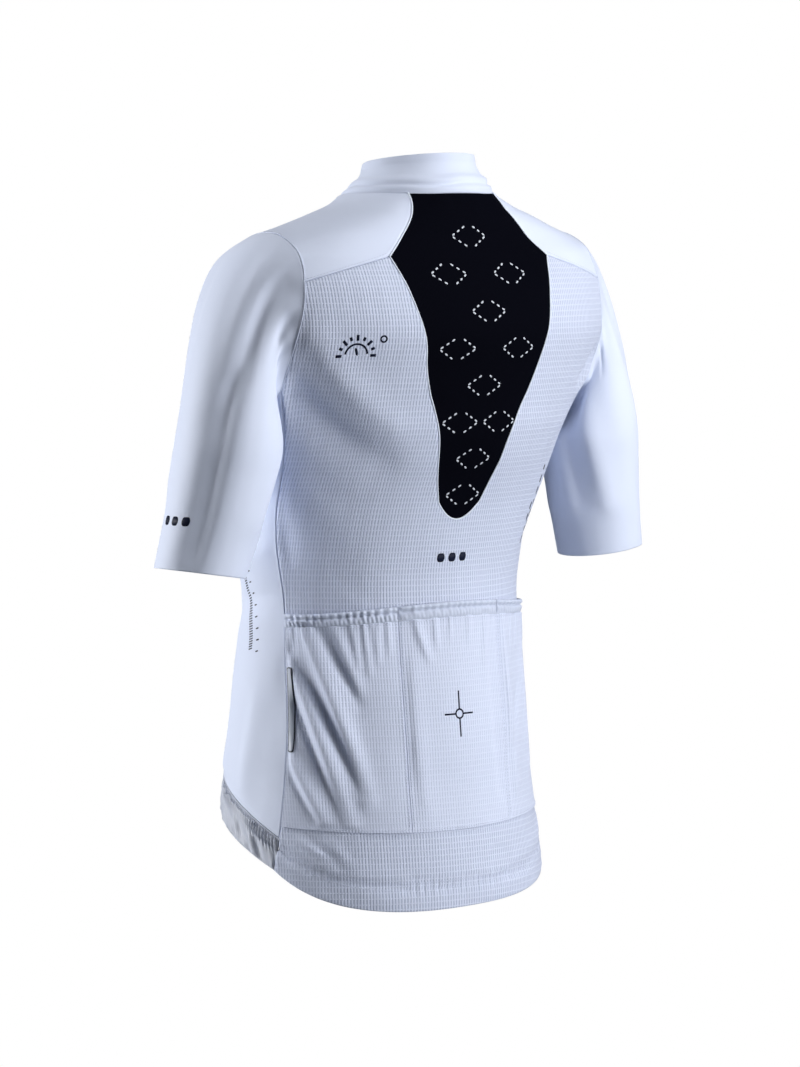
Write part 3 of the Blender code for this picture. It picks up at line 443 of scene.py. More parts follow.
def zip_points(z):
    half, middle, _, front = form_at(z)
    y = middle - front * (1 - (FRONT_EDGE / half) ** 2) ** 0.5
    return np.stack(np.broadcast_arrays(FRONT_EDGE, y, z), -1)


def side_heights():
    """Heights of the rows at the side seam, from the underarm to the hem."""
    upper = np.interp(np.arange(UNDERARM_ROW, BASE_ROW + 1),
                      (UNDERARM_ROW, TIP_ROW, POCKET_ROW, BASE_ROW),
                      (ARMHOLE[ARM_BACK[1]][2], *SIDE_HEIGHTS))
    return np.concatenate([upper, np.linspace(BAND_TOP_Z, SIDE_HEM_Z, HEM_ROW - BASE_ROW)])


def back_half():
    """The left half of the back, centre column first; rows above the corner stop at the insert."""
    p = np.zeros((HEM_ROW + 1, SIDE_COL + 1, 3))
    edge = insert_points(INSERT_ROWS)
    side = side_points(side_heights())
    outer = np.concatenate([np.zeros((CORNER_ROW, 3)), arm_part(ARM_BACK), side[1:]])
    p[0, :INSERT_COLS + 1] = neck_points(0, INSERT_ANGLE, INSERT_COLS)
    for r in range(1, TIP_ROW + 1):
        tip_drop = INSERT_TIP_DROP * (r / TIP_ROW) ** 4
        centre = form_point(np.array(0.0), np.array(edge[r][2] - tip_drop))
        p[r, :INSERT_COLS + 1] = cut_line(centre, edge[r], shares(INSERT_COLS))
    for r in range(CORNER_ROW, TIP_ROW + 1):
        p[r, INSERT_COLS:] = on_form(edge[r], outer[r], shares(SIDE_COL - INSERT_COLS))
    for r in range(TIP_ROW + 1, HEM_ROW + 1):
        centre_z = np.interp(r, (TIP_ROW, POCKET_ROW, BASE_ROW, HEM_ROW), CENTRE_HEIGHTS)
        p[r] = lower_row(centre_z, outer[r], r)
    return p


def lower_row(centre_z, outer, r):
    """A row below the insert: even to the divider, then even to the side seam."""
    end = form_angle(outer)
    divider = np.arcsin(DIVIDER_X / form_at(centre_z)[0])
    across = np.concatenate([np.linspace(0, divider, DIVIDER_COL + 1),
                             np.linspace(divider, end, SIDE_COL - DIVIDER_COL + 1)[1:]])
    s = across / end
    level = smooth_step(s, 0, 1) if r <= BASE_ROW else s ** 3
    p = form_point(across, centre_z + (outer[2] - centre_z) * level)
    p[-1] = outer
    return p


def back_lines():
    """The whole back, right side seam first."""
    half = back_half()
    p = np.concatenate([mirrored(half[:, :0:-1]), half], axis=1)
    fixed = np.ones(p.shape[:2], bool)
    for upper, lower in ((CORNER_ROW, POCKET_ROW), (POCKET_ROW, BASE_ROW), (BASE_ROW, HEM_ROW)):
        fixed[upper + 1:lower, 1:-1] = False
    fixed[:TIP_ROW + 1, INSERT_EDGES] = True
    fixed[TIP_ROW, INSERT_EDGES[0]:INSERT_EDGES[1] + 1] = True
    fixed[POCKET_ROW + 1:, DIVIDERS] = True
    p = relax(p, fixed)
    row = np.arange(HEM_ROW + 1)[:, None]
    inner = 1 - np.linspace(-1, 1, 2 * SIDE_COL + 1) ** 4
    low = np.clip((row - POCKET_ROW) / (HEM_ROW - POCKET_ROW), 0, 1) ** 2
    near_tip = np.clip(1 - ((row - TIP_ROW + 1) / 4) ** 2, 0, 1)
    moved = p.copy()
    moved[..., 2] -= HEM_TILT * p[..., 0] * low * inner
    moved[..., 0] += INSERT_SHIFT * near_tip * inner
    return np.where(((low + near_tip) * inner > 0)[..., None], snap(moved), p)


def yoke_lines(back):
    """The left yoke: rows from the back seam over the shoulder, columns from neck to armhole."""
    corner = INSERT_EDGES[1]
    down, along = back[:CORNER_ROW + 1, corner], back[CORNER_ROW, corner:]
    back_edge = np.concatenate([down, along[1:]])
    arm = arm_part(ARM_YOKE)[::-1]
    neck = neck_points(INSERT_ANGLE, FORWARD_ANGLE, ARM_YOKE[2])
    forward = snap(neck[-1] + (arm[-1] - neck[-1]) * shares(len(back_edge) - 1)[:, None])
    forward[0], forward[-1] = neck[-1], arm[-1]
    p = coons(back_edge, forward, neck, arm)
    return laid_on_form(p, np.zeros(p.shape[:2], bool), 12)


def front_lines(back, yoke):
    """The left front: rows from the collar down, columns from the zip to the side seam."""
    steps = ARM_FRONT[2]
    forward = yoke[-1]
    neck = neck_points(ZIP_ANGLE, FORWARD_ANGLE, NECK_COLS)
    top = np.concatenate([neck, forward[1:]])
    arm, under = arm_part(ARM_FRONT)[::-1], arm_part(ARM_UNDER)[::-1]
    side = back[UNDERARM_ROW:BASE_ROW + 2, -1]
    chest_z = arm[-1][2] - CHEST_DROP
    zip_top = zip_points(np.linspace(neck[0][2], chest_z, steps + 1))
    zip_low = zip_points(np.linspace(chest_z, FRONT_HEM_Z + FRONT_BAND, len(side)))
    zip_top[0] = neck[0]
    chest = cut_line(zip_top[-1], arm[-1], shares(len(top) - 1))
    band = cut_line(zip_low[-1], side[-1], shares(len(top) + ARM_UNDER[2] - 1))
    upper = coons(top, chest, zip_top, arm)
    lower = coons(np.concatenate([chest, under[1:]]), band, zip_low, side)
    rows, cols = steps + len(side), lower.shape[1]
    p = np.zeros((rows, cols, 3))
    p[:steps + 1, :len(top)] = upper
    p[steps:] = lower
    p[:steps, len(top):] = under[1:]
    fixed = np.zeros((rows, cols), bool)
    fixed[:steps + 1, len(top) - 1:] = True
    return laid_on_form(p, fixed, 30)


def round_step(loop):
    """The step from the point before to the point after, round a closed loop."""
    return np.roll(loop, -1, 0) - np.roll(loop, 1, 0)


def sleeve_ring(row, angles):
    x, y, z, out_in, front_back, tilt = row
    return np.stack([x + out_in * np.cos(angles), y + front_back * np.sin(angles),
                     z + tilt * np.cos(angles)], axis=-1)


def sleeve_lines():
    """The left sleeve's rings from the armhole to the cuff, and the angle of each column."""
    parts = (ARM_YOKE, ARM_BACK, ARM_UNDER, ARM_FRONT)
    loop = np.concatenate([arm_part(part)[:-1] for part in parts])
    centre = loop.mean(0)
    angles = np.unwrap(np.arctan2(loop[:, 1] - centre[1], loop[:, 2] - centre[2]))
    round_loop = np.linspace(0, 2 * pi, len(loop), endpoint=False)
    angles = 0.5 * angles + 0.5 * (round_loop + (angles - round_loop).mean())
    upper, lower, cuff = (sleeve_ring(row, angles) for row in SLEEVE_RINGS)
    axis = SLEEVE_RINGS[1][:3] - SLEEVE_RINGS[0][:3]
    normal = unit(form_slope(loop))
    outward = unit(np.cross(normal, round_step(loop)))
    outward *= np.sign(outward @ np.array([1.0, 0, -0.6]))[:, None]
    low, high = loop[:, 2].min(), loop[:, 2].max()
    share = np.clip((loop[:, 2:] - low) / (high - low) * 2, 0, 1)
    outward = unit((outward + CAP_LEAN) * share + UNDERARM_WAY * (1 - share))
    reach = np.linalg.norm(upper - loop, axis=1, keepdims=True)
    lead = np.maximum(reach * CAP_FULLNESS, CAP_LEAST)
    first_t, second_t, third_t = (shares(steps)[:, None, None] for steps in SLEEVE_STEPS)
    first = hermite(loop, upper, outward * lead, unit(axis) * reach, first_t)
    second = upper + (lower - upper) * second_t
    third = lower + (cuff - lower) * third_t
    return np.concatenate([first, second[1:], third[1:]]), angles


# ---------------- fine grids on the same lines
def fine_lines(breaks, fine=FINE, more=()):
    """Where the fine lines lie, counted in lines of the solids, with one beside each seam."""
    even = np.arange(breaks[-1] * fine + 1) / fine
    beside = [at + way * BESIDE for at in tuple(breaks) + tuple(more) for way in (-1, 1)]
    lines = np.unique(np.round(np.concatenate([even, beside]), 5))
    return lines[(lines >= 0) & (lines <= breaks[-1])]


def refine(p, breaks, lines, axis=0):
    """A grid at fine lines along one axis, smooth between the breaks."""
    p = np.moveaxis(p, axis, 0)
    out = np.zeros((len(lines),) + p.shape[1:])
    for a, b in zip(breaks, breaks[1:]):
        part = p[a:b + 1]
        if b - a > 1:
            ends = 3 * part[0] - 3 * part[1] + part[2], 3 * part[-1] - 3 * part[-2] + part[-3]
        else:
            ends = 2 * part[0] - part[1], 2 * part[1] - part[0]
        q = np.concatenate([ends[:1], part, ends[1:]])
        here = (lines >= a) & (lines <= b)
        at = lines[here] - a
        k = np.minimum(at.astype(int), b - a - 1)
        t = (at - k).reshape((-1,) + (1,) * (p.ndim - 1))
        out[here] = catmull(q[k], q[k + 1], q[k + 2], q[k + 3], t)
    return np.moveaxis(out, 0, axis)


def place(lines, at):
    """The number of the fine line that lies at a line of the solids."""
    return int(np.argmin(np.abs(lines - at)))


def girth(p):
    """How far round the form a point lies from the centre back, positive to the wearer's left."""
    turn = form_angle(p)
    half, _, back, front = form_at(p[..., 2])
    size = np.abs(turn)
    knots, weights = np.polynomial.legendre.leggauss(8)
    run = 0
    for start, end, depth in ((0, np.minimum(size, pi / 2), back),
                              (pi / 2, np.maximum(size, pi / 2), front)):
        reach = (end - start) / 2
        for knot, weight in zip(knots, weights):
            t = start + reach * (1 + knot)
            run = run + weight * reach * np.hypot(half * np.cos(t), depth * np.sin(t))
    return np.sign(turn) * run


def drop(p):
    """How far down the cloth a point lies, along the middle of the back."""
    z = np.linspace(FORM[-1, 0], FORM[0, 0], 400)
    _, middle, back, _ = form_at(z)
    return np.interp(-p[..., 2], -z, summed(np.hypot(np.diff(z), np.diff(middle + back))))


def grid_normals(p, closed=False):
    """Normals of a free grid from its own neighbours."""
    down = np.gradient(p, axis=0)
    across = np.roll(p, -1, 1) - np.roll(p, 1, 1) if closed else np.gradient(p, axis=1)
    return unit(np.cross(down, across))


class Part:
    """One cut piece as a grid: points, outward normals, cloth coordinates and line numbers."""

    def __init__(self, points, rows, cols, normals=None, grain=None):
        self.points, self.rows, self.cols = points, rows, cols
        self.normals = unit(form_slope(points)) if normals is None else normals
        self.grain = np.stack([girth(points), -drop(points)], -1) if grain is None else grain

    def cut(self, rows, cols=slice(None)):
        return Part(self.points[rows, cols], self.rows[rows], self.cols[cols],
                    self.normals[rows, cols], self.grain[rows, cols])

    def between(self, rows=(None, None), cols=(None, None)):
        """The part between two row lines and two column lines of the solids."""
        def span(lines, ends):
            first = 0 if ends[0] is None else place(lines, ends[0])
            last = len(lines) - 1 if ends[1] is None else place(lines, ends[1])
            return slice(first, last + 1)
        return self.cut(span(self.rows, rows), span(self.cols, cols))

    def sides(self):
        """The name and part of the left side, then of the right."""
        other = Part(mirrored(self.points), self.rows, self.cols, mirrored(self.normals),
                     self.grain * np.array([-1, 1]))
        return ("left", self), ("right", other)

    def place(self):
        """How far each point lies round the form, and its height."""
        return self.grain[..., 0], self.points[..., 2]

    def denser(self, rows, cols):
        """The same grid with each cell cut into rows by cols cells."""
        return Part(denser(self.points, rows, cols), dense_lines(self.rows, rows),
                    dense_lines(self.cols, cols), unit(denser(self.normals, rows, cols)),
                    denser(self.grain, rows, cols))


def cut_up(count, times):
    """Places on a line of points, counted in its points, with every step cut into more."""
    return np.linspace(0, count - 1, (count - 1) * times + 1)


def dense_lines(lines, times):
    return np.interp(cut_up(len(lines), times), np.arange(len(lines)), lines)


def denser(p, rows, cols):
    r, c = cut_up(p.shape[0], rows), cut_up(p.shape[1], cols)
    i = np.minimum(r.astype(int), p.shape[0] - 2)
    j = np.minimum(c.astype(int), p.shape[1] - 2)
    u = (r - i).reshape((-1, 1) + (1,) * (p.ndim - 2))
    w = (c - j).reshape((1, -1) + (1,) * (p.ndim - 2))
    return blended(p, i[:, None], j, u, w)


def blended(grid, i, j, u, w):
    """Points between four neighbours of a grid, at shares u down and w across."""
    near = grid[i, j] * (1 - w) + grid[i, j + 1] * w
    far = grid[i + 1, j] * (1 - w) + grid[i + 1, j + 1] * w
    return near * (1 - u) + far * u


BINDING_ROW = POCKET_ROW + 0.64         # lower edge of the pockets' bindings
YOKE_COLS = CORNER_ROW + SIDE_COL - INSERT_COLS
ARM_COL = NECK_COLS + YOKE_COLS
LOWER_ROWS = (TIP_ROW, POCKET_ROW, BASE_ROW, BASE_ROW + 1)
BREAKS = {
    # rows and columns of the solids at which the fine lines may bend sharply
    "back": ((0, CORNER_ROW, UNDERARM_ROW, *LOWER_ROWS, HEM_ROW),
             (0, *sorted(DIVIDERS + INSERT_EDGES), 2 * SIDE_COL)),
    "yoke": ((0, ARM_YOKE[2]), (0, CORNER_ROW, YOKE_COLS)),
    "front": ((0, ARM_FRONT[2], *(ARM_FRONT[2] + row - UNDERARM_ROW for row in LOWER_ROWS)),
              (0, NECK_COLS, NECK_COLS + CORNER_ROW, ARM_COL, ARM_COL + ARM_UNDER[2]))}
MORE_LINES = {"back": (BINDING_ROW,)}


@lru_cache(None)
def pattern():
    """Every cut piece of the left side and the middle, with seam points in common."""
    back = back_lines()
    yoke = yoke_lines(back)
    front = front_lines(back, yoke)
    rings, angles = sleeve_lines()
    lines, fine = {}, {}
    for name, grid in (("back", back), ("yoke", yoke), ("front", front)):
        row_breaks, col_breaks = BREAKS[name]
        rows, cols = fine_lines(row_breaks, more=MORE_LINES.get(name, ())), fine_lines(col_breaks)
        lines[name] = rows, cols
        fine[name] = snap(refine(refine(grid, row_breaks, rows), col_breaks, cols, 1), 3)
    back, yoke, front = fine.values()

    # The armhole: over the shoulder, down the back, under the arm and up the front.
    rows, back_cols = lines["back"]
    front_rows, front_cols = lines["front"]
    arm_rows = slice(place(rows, CORNER_ROW), place(rows, UNDERARM_ROW) + 1)
    chest, arm_col = place(front_rows, ARM_FRONT[2]), place(front_cols, ARM_COL)
    stretches = (yoke[::-1, -1], back[arm_rows, -1], front[chest, arm_col:][::-1],
                 front[chest::-1, arm_col])
    loop = np.concatenate([stretch[:-1] for stretch in stretches])
    counts = (ARM_YOKE[2] - lines["yoke"][0][::-1], rows[arm_rows] - CORNER_ROW,
              ARM_COL + ARM_UNDER[2] - front_cols[arm_col:][::-1],
              ARM_FRONT[2] - front_rows[chest::-1])
    starts = np.cumsum([0] + [part[2] for part in (ARM_YOKE, ARM_BACK, ARM_UNDER)])
    at = np.concatenate([count[:-1] + start for count, start in zip(counts, starts)])
    sleeve = closed_fine(rings, at)
    turn = closed_fine(np.stack([np.cos(angles), np.sin(angles)], -1)[None], at)[0]
    turn = np.degrees(np.arctan2(turn[:, 1], turn[:, 0])) % 360
    down = fine_lines((0, len(rings) - 1), SLEEVE_FINE)
    sleeve = refine(sleeve, (0, len(rings) - 1), down)
    sleeve[0] = loop

    # The neck seam, from the right front edge round the back to the left one.
    mid, edge = (place(back_cols, at) for at in (SIDE_COL, INSERT_EDGES[1]))
    neck_col = place(front_cols, NECK_COLS)
    half_neck = np.concatenate([back[0, mid:edge + 1], yoke[1:, 0], front[0, neck_col - 1::-1]])
    neck = np.concatenate([mirrored(half_neck[:0:-1]), half_neck])
    collar = collar_rings(neck)

    # Normals that two pieces share where the cloth turns at a seam.
    sleeve_n, collar_n = grid_normals(sleeve, True), grid_normals(collar)
    sleeve_n[0] = unit(unit(form_slope(loop)) + sleeve_n[0])
    collar_n[0] = unit(unit(form_slope(neck)) + collar_n[0])
    seam = np.concatenate([loop, mirrored(loop), neck])
    seam_n = np.concatenate([sleeve_n[0], mirrored(sleeve_n[0]), collar_n[0]])
    parts = {name: Part(grid, *lines[name], normals=seam_normals(grid, seam, seam_n))
             for name, grid in fine.items()}
    middle_ring = sleeve[len(sleeve) // 2]
    around = np.linalg.norm(np.roll(middle_ring, -1, 0) - middle_ring, axis=1)
    along = np.linalg.norm(np.diff(sleeve, axis=0), axis=-1).mean(1)
    parts["sleeve"] = Part(sleeve, down, at, sleeve_n, flat_grain(along, around))
    tall = np.linalg.norm(np.diff(collar, axis=0), axis=-1).mean(1)
    wide = np.linalg.norm(np.diff(collar[len(collar) // 2], axis=0), axis=-1)
    parts["collar"] = Part(collar, COLLAR_SHARES, np.arange(len(neck)), collar_n,
                           flat_grain(-tall, wide))
    return parts, turn


def flat_grain(along, around):
    """Cloth coordinates of a strip or tube: round it, then down it."""
    return np.stack(np.broadcast_arrays(summed(around)[None], -summed(along)[:, None]), -1)


def seam_normals(p, seam, normals):
    """Form normals of a grid, with those of a shared seam put in where its points lie."""
    found = unit(form_slope(p))
    for point, normal in zip(seam, normals):
        found[np.abs(p - point).max(-1) < 1e-7] = normal
    return found


def collar_rings(neck):
    """The collar from its seam up, in the seam's own points, right front edge first."""
    angle = np.arctan2(neck[:, 0], neck[:, 1])
    forward = np.maximum(0, -np.cos(angle)) ** 3
    top = COLLAR_TOP - COLLAR_SLOPE * (1 - np.cos(angle)) - COLLAR_FRONT_DROP * forward
    radius, middle = smooth_table(COLLAR, COLLAR_SHARES).T[..., None]
    z = neck[:, 2] + (top - neck[:, 2]) * COLLAR_SHARES[:, None]
    rings = np.stack([radius * np.sin(angle), middle + radius * np.cos(angle), z], axis=-1)
    rings[:, [0, -1], 0] = -FRONT_EDGE, FRONT_EDGE
    rings[0] = neck
    return rings


def closed_fine(rings, at):
    """Rings through the same points as closed smooth curves, at the given column counts."""
    count = rings.shape[1]
    k = at.astype(int)
    t = (at - k)[None, :, None]
    corners = (rings[:, (k + step) % count] for step in (-1, 0, 1, 2))
    return catmull(*corners, t)


# ---------------- the garment's settings
def length(name, description, default, least, most):
    return FloatProperty(name=name, description=description, default=default, min=least, max=most,
                         unit="LENGTH")


class JerseySizes(bpy.types.PropertyGroup):
    """Sizes of the cloth and trims."""
    cloth_wall: length("Cloth wall", "Thickness of the cloth", 0.0009, 0.0004, 0.0015)
    seam_dip: length("Seam dip", "How deep a sewn edge sinks", 0.0006, 0.0, 0.0015)
    seam_swell: length("Seam swell", "How far the cloth rises by a seam", 0.00022, 0.0, 0.001)
    fold_scale: FloatProperty(name="Fold scale", description="Strength of every soft fold",
                              default=1.6, min=0.0, max=3.0, subtype="FACTOR")
    swell: length("Unevenness", "Height of the gentle swells of worn cloth", 0.0005, 0.0, 0.003)
    thread: length("Thread", "Radius of the sewing thread", 0.00028, 0.0001, 0.001)
    stitch: length("Stitch", "Length of one stitch and its gap", 0.0031, 0.001, 0.01)
    piping: length("Piping", "Radius of the piping round the insert", 0.0008, 0.0002, 0.002)
    gather: length("Gather", "Depth of the pocket bindings' gathers", 0.0009, 0.0, 0.003)
    mesh_width: length("Knit cell width", "Width of a cell of the grid knit", 0.0030, 0.001, 0.01)
    mesh_height: length("Knit cell height", "Height of a cell of the grid knit", 0.0054, 0.001, 0.01)


def colour(name, description, default):
    return FloatVectorProperty(name=name, description=description, default=default, size=3,
                               min=0.0, max=1.0, subtype="COLOR")


class JerseyColours(bpy.types.PropertyGroup):
    """Colours of the cloth and trims, linear."""
    smooth: colour("Smooth cloth", "Yokes, sleeves, fronts and collar", (0.70, 0.765, 0.935))
    knit: colour("Grid knit", "Back and pockets", (0.69, 0.75, 0.925))
    insert: colour("Insert", "The black insert of the back", (0.0018, 0.0020, 0.0050))
    binding: colour("Binding", "Pocket bindings and sewing thread", (0.60, 0.66, 0.82))
    gripper: colour("Gripper", "The elastic gripper bands", (0.48, 0.515, 0.61))
    piping: colour("Piping", "The cord round the insert", (0.80, 0.87, 1.0))
    ink: colour("Ink", "Printed marks", (0.006, 0.009, 0.028))
    eyelet: colour("Eyelets", "The insert's eyelets", (0.60, 0.64, 0.71))
    tab: colour("Tab", "The side tab", (0.36, 0.40, 0.48))
    metal: colour("Metal", "Zip slider and pull", (0.74, 0.76, 0.80))
    zip: colour("Zip", "Zip tape and teeth", (0.66, 0.71, 0.86))


def sizes():
    return bpy.context.scene.jersey_sizes


def colours():
    return bpy.context.scene.jersey_colours


# ---------------- making cloth
LAID = {}               # outer surfaces by piece, for what is sewn or printed on them


def bordered(mask, closed):
    """A mask with nothing round it, or with its far columns beside it where the grid is closed."""
    big = np.pad(mask, 1)
    if closed:
        big[1:-1, 0], big[1:-1, -1] = mask[:, -1], mask[:, 0]
    return big


def grown(mask, closed):
    """A mask with every neighbour of its points."""
    big = bordered(mask, closed)
    rows, cols = mask.shape
    return np.any([big[i:i + rows, j:j + cols] for i in range(3) for j in range(3)], axis=0)


def linked(name, data):
    """A new object in the scene."""
    made = bpy.data.objects.new(name, data)
    bpy.context.scene.collection.objects.link(made)
    return made


def new_piece(name, points, faces, finish, grain=None):
    """A smooth mesh piece of closed shells that rides on the garment."""
    mesh = bpy.data.meshes.new(name)
    mesh.from_pydata(np.asarray(points, float).tolist(), [], faces)
    if grain is not None:
        mesh.uv_layers.new(name="Grain").data.foreach_set("uv", np.asarray(grain, np.float32).ravel())
    mesh.shade_smooth()
    mesh.materials.append(finish)
    piece = linked(name, mesh)
    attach(piece, "garment")
    return piece


def new_trim(name, shell, finish):
    """A trim made of one shell of points and faces."""
    trim = new_piece(name, *shell, finish)
    return trim


def cloth(name, part, finish, rise=0.0, cells=None, closed=False, free=None, wall=None, dip=1.0):
    """A thin closed shell on a part's grid. Its outer face rises off the form, its sewn edges
    sink, and its inner face lies a wall further in. free marks the points of unsewn edges."""
    p, n = part.points, part.normals
    rows, cols = p.shape[:2]
    wall = wall or sizes().cloth_wall
    if cells is None:
        cells = np.ones((rows - 1, cols if closed else cols - 1), bool)
    r, c = np.nonzero(cells)
    at_r, at_c = np.stack([r, r, r + 1, r + 1]), np.stack([c, c + 1, c + 1, c])
    turn_c = at_c % cols
    meeting, inward = np.zeros((rows, cols), int), np.zeros_like(p)
    np.add.at(meeting, (at_r, turn_c), 1)
    np.add.at(inward, (at_r, turn_c), p[at_r, turn_c].mean(0)[None])
    used = meeting > 0
    edge = used & (meeting < 4)
    sewn = edge if free is None else edge & ~free
    beside = grown(sewn, closed) & used & ~edge
    height = rise - sewn * sizes().seam_dip * dip + beside * sizes().seam_swell * dip
    inward = unit(inward / np.maximum(meeting, 1)[..., None] - p) * edge[..., None] * SEAM_GAP / 2
    outer = p + inward + n * height[..., None]
    inner = outer - n * wall
    LAID[name] = (part, outer)

    number = np.full((rows, cols), -1)
    number[used] = np.arange(used.sum())
    front = number[at_r, turn_c].T
    quads, grain_at = [front, front[:, ::-1] + used.sum()], [(at_r, at_c), (at_r[::-1], at_c[::-1])]
    padded = bordered(cells, closed)
    for k, (i, j) in enumerate(((-1, 0), (0, 1), (1, 0), (0, -1))):
        open_side = ~padded[r + 1 + i, c + 1 + j]
        a, b = front[open_side, k], front[open_side, (k + 1) % 4]
        quads.append(np.stack([b, a, a + used.sum(), b + used.sum()], 1))
        ends = [(k + 1) % 4, k, k, (k + 1) % 4]
        grain_at.append((at_r[ends][:, open_side], at_c[ends][:, open_side]))
    quads = np.concatenate(quads)
    grain = np.concatenate([part.grain[i, j].swapaxes(0, 1) for i, j in grain_at])
    first = [outer[at_r[k, 0], turn_c[k, 0]] for k in range(3)]
    if np.cross(first[1] - first[0], first[2] - first[1]) @ n[at_r[0, 0], turn_c[0, 0]] < 0:
        quads, grain = quads[:, ::-1], grain[:, ::-1]
    points = np.concatenate([outer[used], inner[used]])
    return new_piece(name, points, quads.tolist(), finish, grain=grain)


def folds(across, z, table):
    """Height of soft folds: each swells in its middle, leans to one side and fades at its ends."""
    height = 0.0
    for a0, z0, a1, z1, bow, rise, spread in table:
        run_a, run_z = a1 - a0, z1 - z0
        length = np.hypot(run_a, run_z)
        t = ((across - a0) * run_a + (z - z0) * run_z) / length ** 2
        off = ((across - a0) * run_z - (z - z0) * run_a) / length
        held = np.clip(t, 0, 1)
        off = off + bow * 4 * held * (1 - held)
        off = off / np.where(off > 0, 1.25, 0.8)
        past = np.abs(t - held) * length
        body = 0.55 + 0.45 * np.sin(pi * held)
        height = height + rise * body * np.exp(-(off / spread) ** 2 - (past / (1.3 * spread)) ** 2)
    return height * sizes().fold_scale


def unevenness(across, z, seed):
    """Gentle swells of worn cloth: the sum of a few slanting waves."""
    draw = np.random.default_rng(seed)
    total = 0.0
    for _ in range(9):
        way, start = draw.uniform(0, tau, 2)
        wave = draw.uniform(0.045, 0.13)
        total = total + np.sin(tau * (across * cos(way) + z * sin(way)) / wave + start)
    return total / 3 * sizes().swell


def fade(part, width, sides=(1, 1, 1, 1)):
    """Nothing at a part's sewn edges, one from a width inside them: top, left, bottom, right."""
    p = part.points
    down = summed(np.linalg.norm(np.diff(p, axis=0), axis=-1).mean(1))[:, None]
    steps = np.linalg.norm(np.diff(p, axis=1), axis=-1)
    along = np.concatenate([np.zeros((len(p), 1)), np.cumsum(steps, axis=1)], axis=1)
    away = np.full(p.shape[:2], width)
    for sewn, reach in zip(sides, (down, along, down[-1] - down, along[:, -1:] - along)):
        if sewn:
            away = np.minimum(away, reach)
    return smooth_step(away, 0, width)


def free_hem(part):
    """A mask of a part's last row, which is not sewn to anything."""
    free = np.zeros(part.points.shape[:2], bool)
    free[-1] = True
    return free


def tube(path, normals, radius, sides=6, closed=False):
    """Points and faces of a round cord along a path, with capped ends unless it is closed."""
    step = round_step(path) if closed else np.gradient(path, axis=0)
    side = unit(np.cross(unit(step), normals))
    turn = (tau * np.arange(sides) / sides)[:, None]
    ring = side[:, None] * np.cos(turn) + normals[:, None] * np.sin(turn)
    radius = np.broadcast_to(radius, len(path))[:, None, None]
    points = (path[:, None] + ring * radius).reshape(-1, 3)
    index = np.arange(len(points)).reshape(-1, sides)
    rings = np.concatenate([index, index[:1]]) if closed else index
    faces = grid_quads(np.concatenate([rings, rings[:, :1]], axis=1)).tolist()
    if not closed:
        faces += [index[0, ::-1].tolist(), index[-1].tolist()]
    return points, faces


def joined(shells):
    """Several point and face lists as one."""
    points, faces, count = [], [], 0
    for some, cells in shells:
        points.append(some)
        faces += [[count + i for i in cell] for cell in cells]
        count += len(some)
    return np.concatenate(points), faces


THREAD_SIDES = 5
# A stitch: share of its length, height over the cloth and thickness in threads.
STITCH = np.array([(0.08, -0.5, 0.7), (0.30, 0.75, 1.0), (0.56, 0.75, 1.0), (0.78, -0.5, 0.7)])


def stitched(path, normals):
    """Shells of a row of stitches along a path on the cloth, each a thread with sunk ends."""
    span, thick = sizes().stitch, sizes().thread
    run = length_run(path)
    shares_on, lift, width = STITCH.T
    shells = []
    for k in range(int(run[-1] / span)):
        at = (k + shares_on) * span
        up = unit(values_at(at, run, normals))
        line = values_at(at, run, path) + up * thick * lift[:, None]
        shells.append(tube(line, up, thick * width, THREAD_SIDES))
    return shells


# ---------------- finishes
def new_group(name, inputs, outputs):
    """A shader node group with named sockets; returns it with its input and output nodes."""
    group = bpy.data.node_groups.new(name, "ShaderNodeTree")
    for label, kind, value in inputs:
        socket = group.interface.new_socket(label, in_out="INPUT", socket_type="NodeSocket" + kind)
        if value is not None:
            socket.default_value = value
    for label, kind in outputs:
        group.interface.new_socket(label, in_out="OUTPUT", socket_type="NodeSocket" + kind)
    return group, group.nodes.new("NodeGroupInput"), group.nodes.new("NodeGroupOutput")


def feed(tree, socket, value):
    """Sets an input to a number or colour, or links a socket to it."""
    if isinstance(value, (int, float, tuple)):
        socket.default_value = value
    else:
        tree.links.new(value, socket)


def fed(tree, node, **inputs):
    """A node with its inputs fed; an underscore stands for a space in their names."""
    for name, value in inputs.items():
        feed(tree, node.inputs[name.replace("_", " ")], value)
    return node


def new_node(tree, kind, **inputs):
    return fed(tree, tree.nodes.new("ShaderNode" + kind), **inputs)


def maths(tree, operation, *values):
    """One Math node fed with numbers or sockets."""
    node = new_node(tree, "Math")
    node.operation = operation
    for socket, value in zip(node.inputs, values):
        feed(tree, socket, value)
    return node.outputs[0]


def ramp(tree, value, low, high, start=0.0, end=1.0):
    """A smooth change of a value from one range to another."""
    node = new_node(tree, "MapRange", Value=value, From_Min=low, From_Max=high, To_Min=start,
                    To_Max=end)
    node.interpolation_type = "SMOOTHSTEP"
    return node.outputs["Result"]


def noise(tree, vector, scale, detail):
    return new_node(tree, "TexNoise", Scale=scale, Detail=detail, Vector=vector).outputs["Fac"]


def multiplied(tree, amount, a, b):
    """Two colours multiplied by an amount; each is a value or a socket."""
    node = new_node(tree, "Mix")
    node.data_type = "RGBA"
    node.blend_type = "MULTIPLY"
    for socket, value in zip((node.inputs[0], *node.inputs[6:8]), (amount, a, b)):
        feed(tree, socket, value)
    return node.outputs[2]


def cloth_axes(group, start):
    """Distances across and down the cloth, from a group's Cloth input."""
    return new_node(group, "SeparateXYZ", Vector=start.outputs["Cloth"]).outputs[:2]


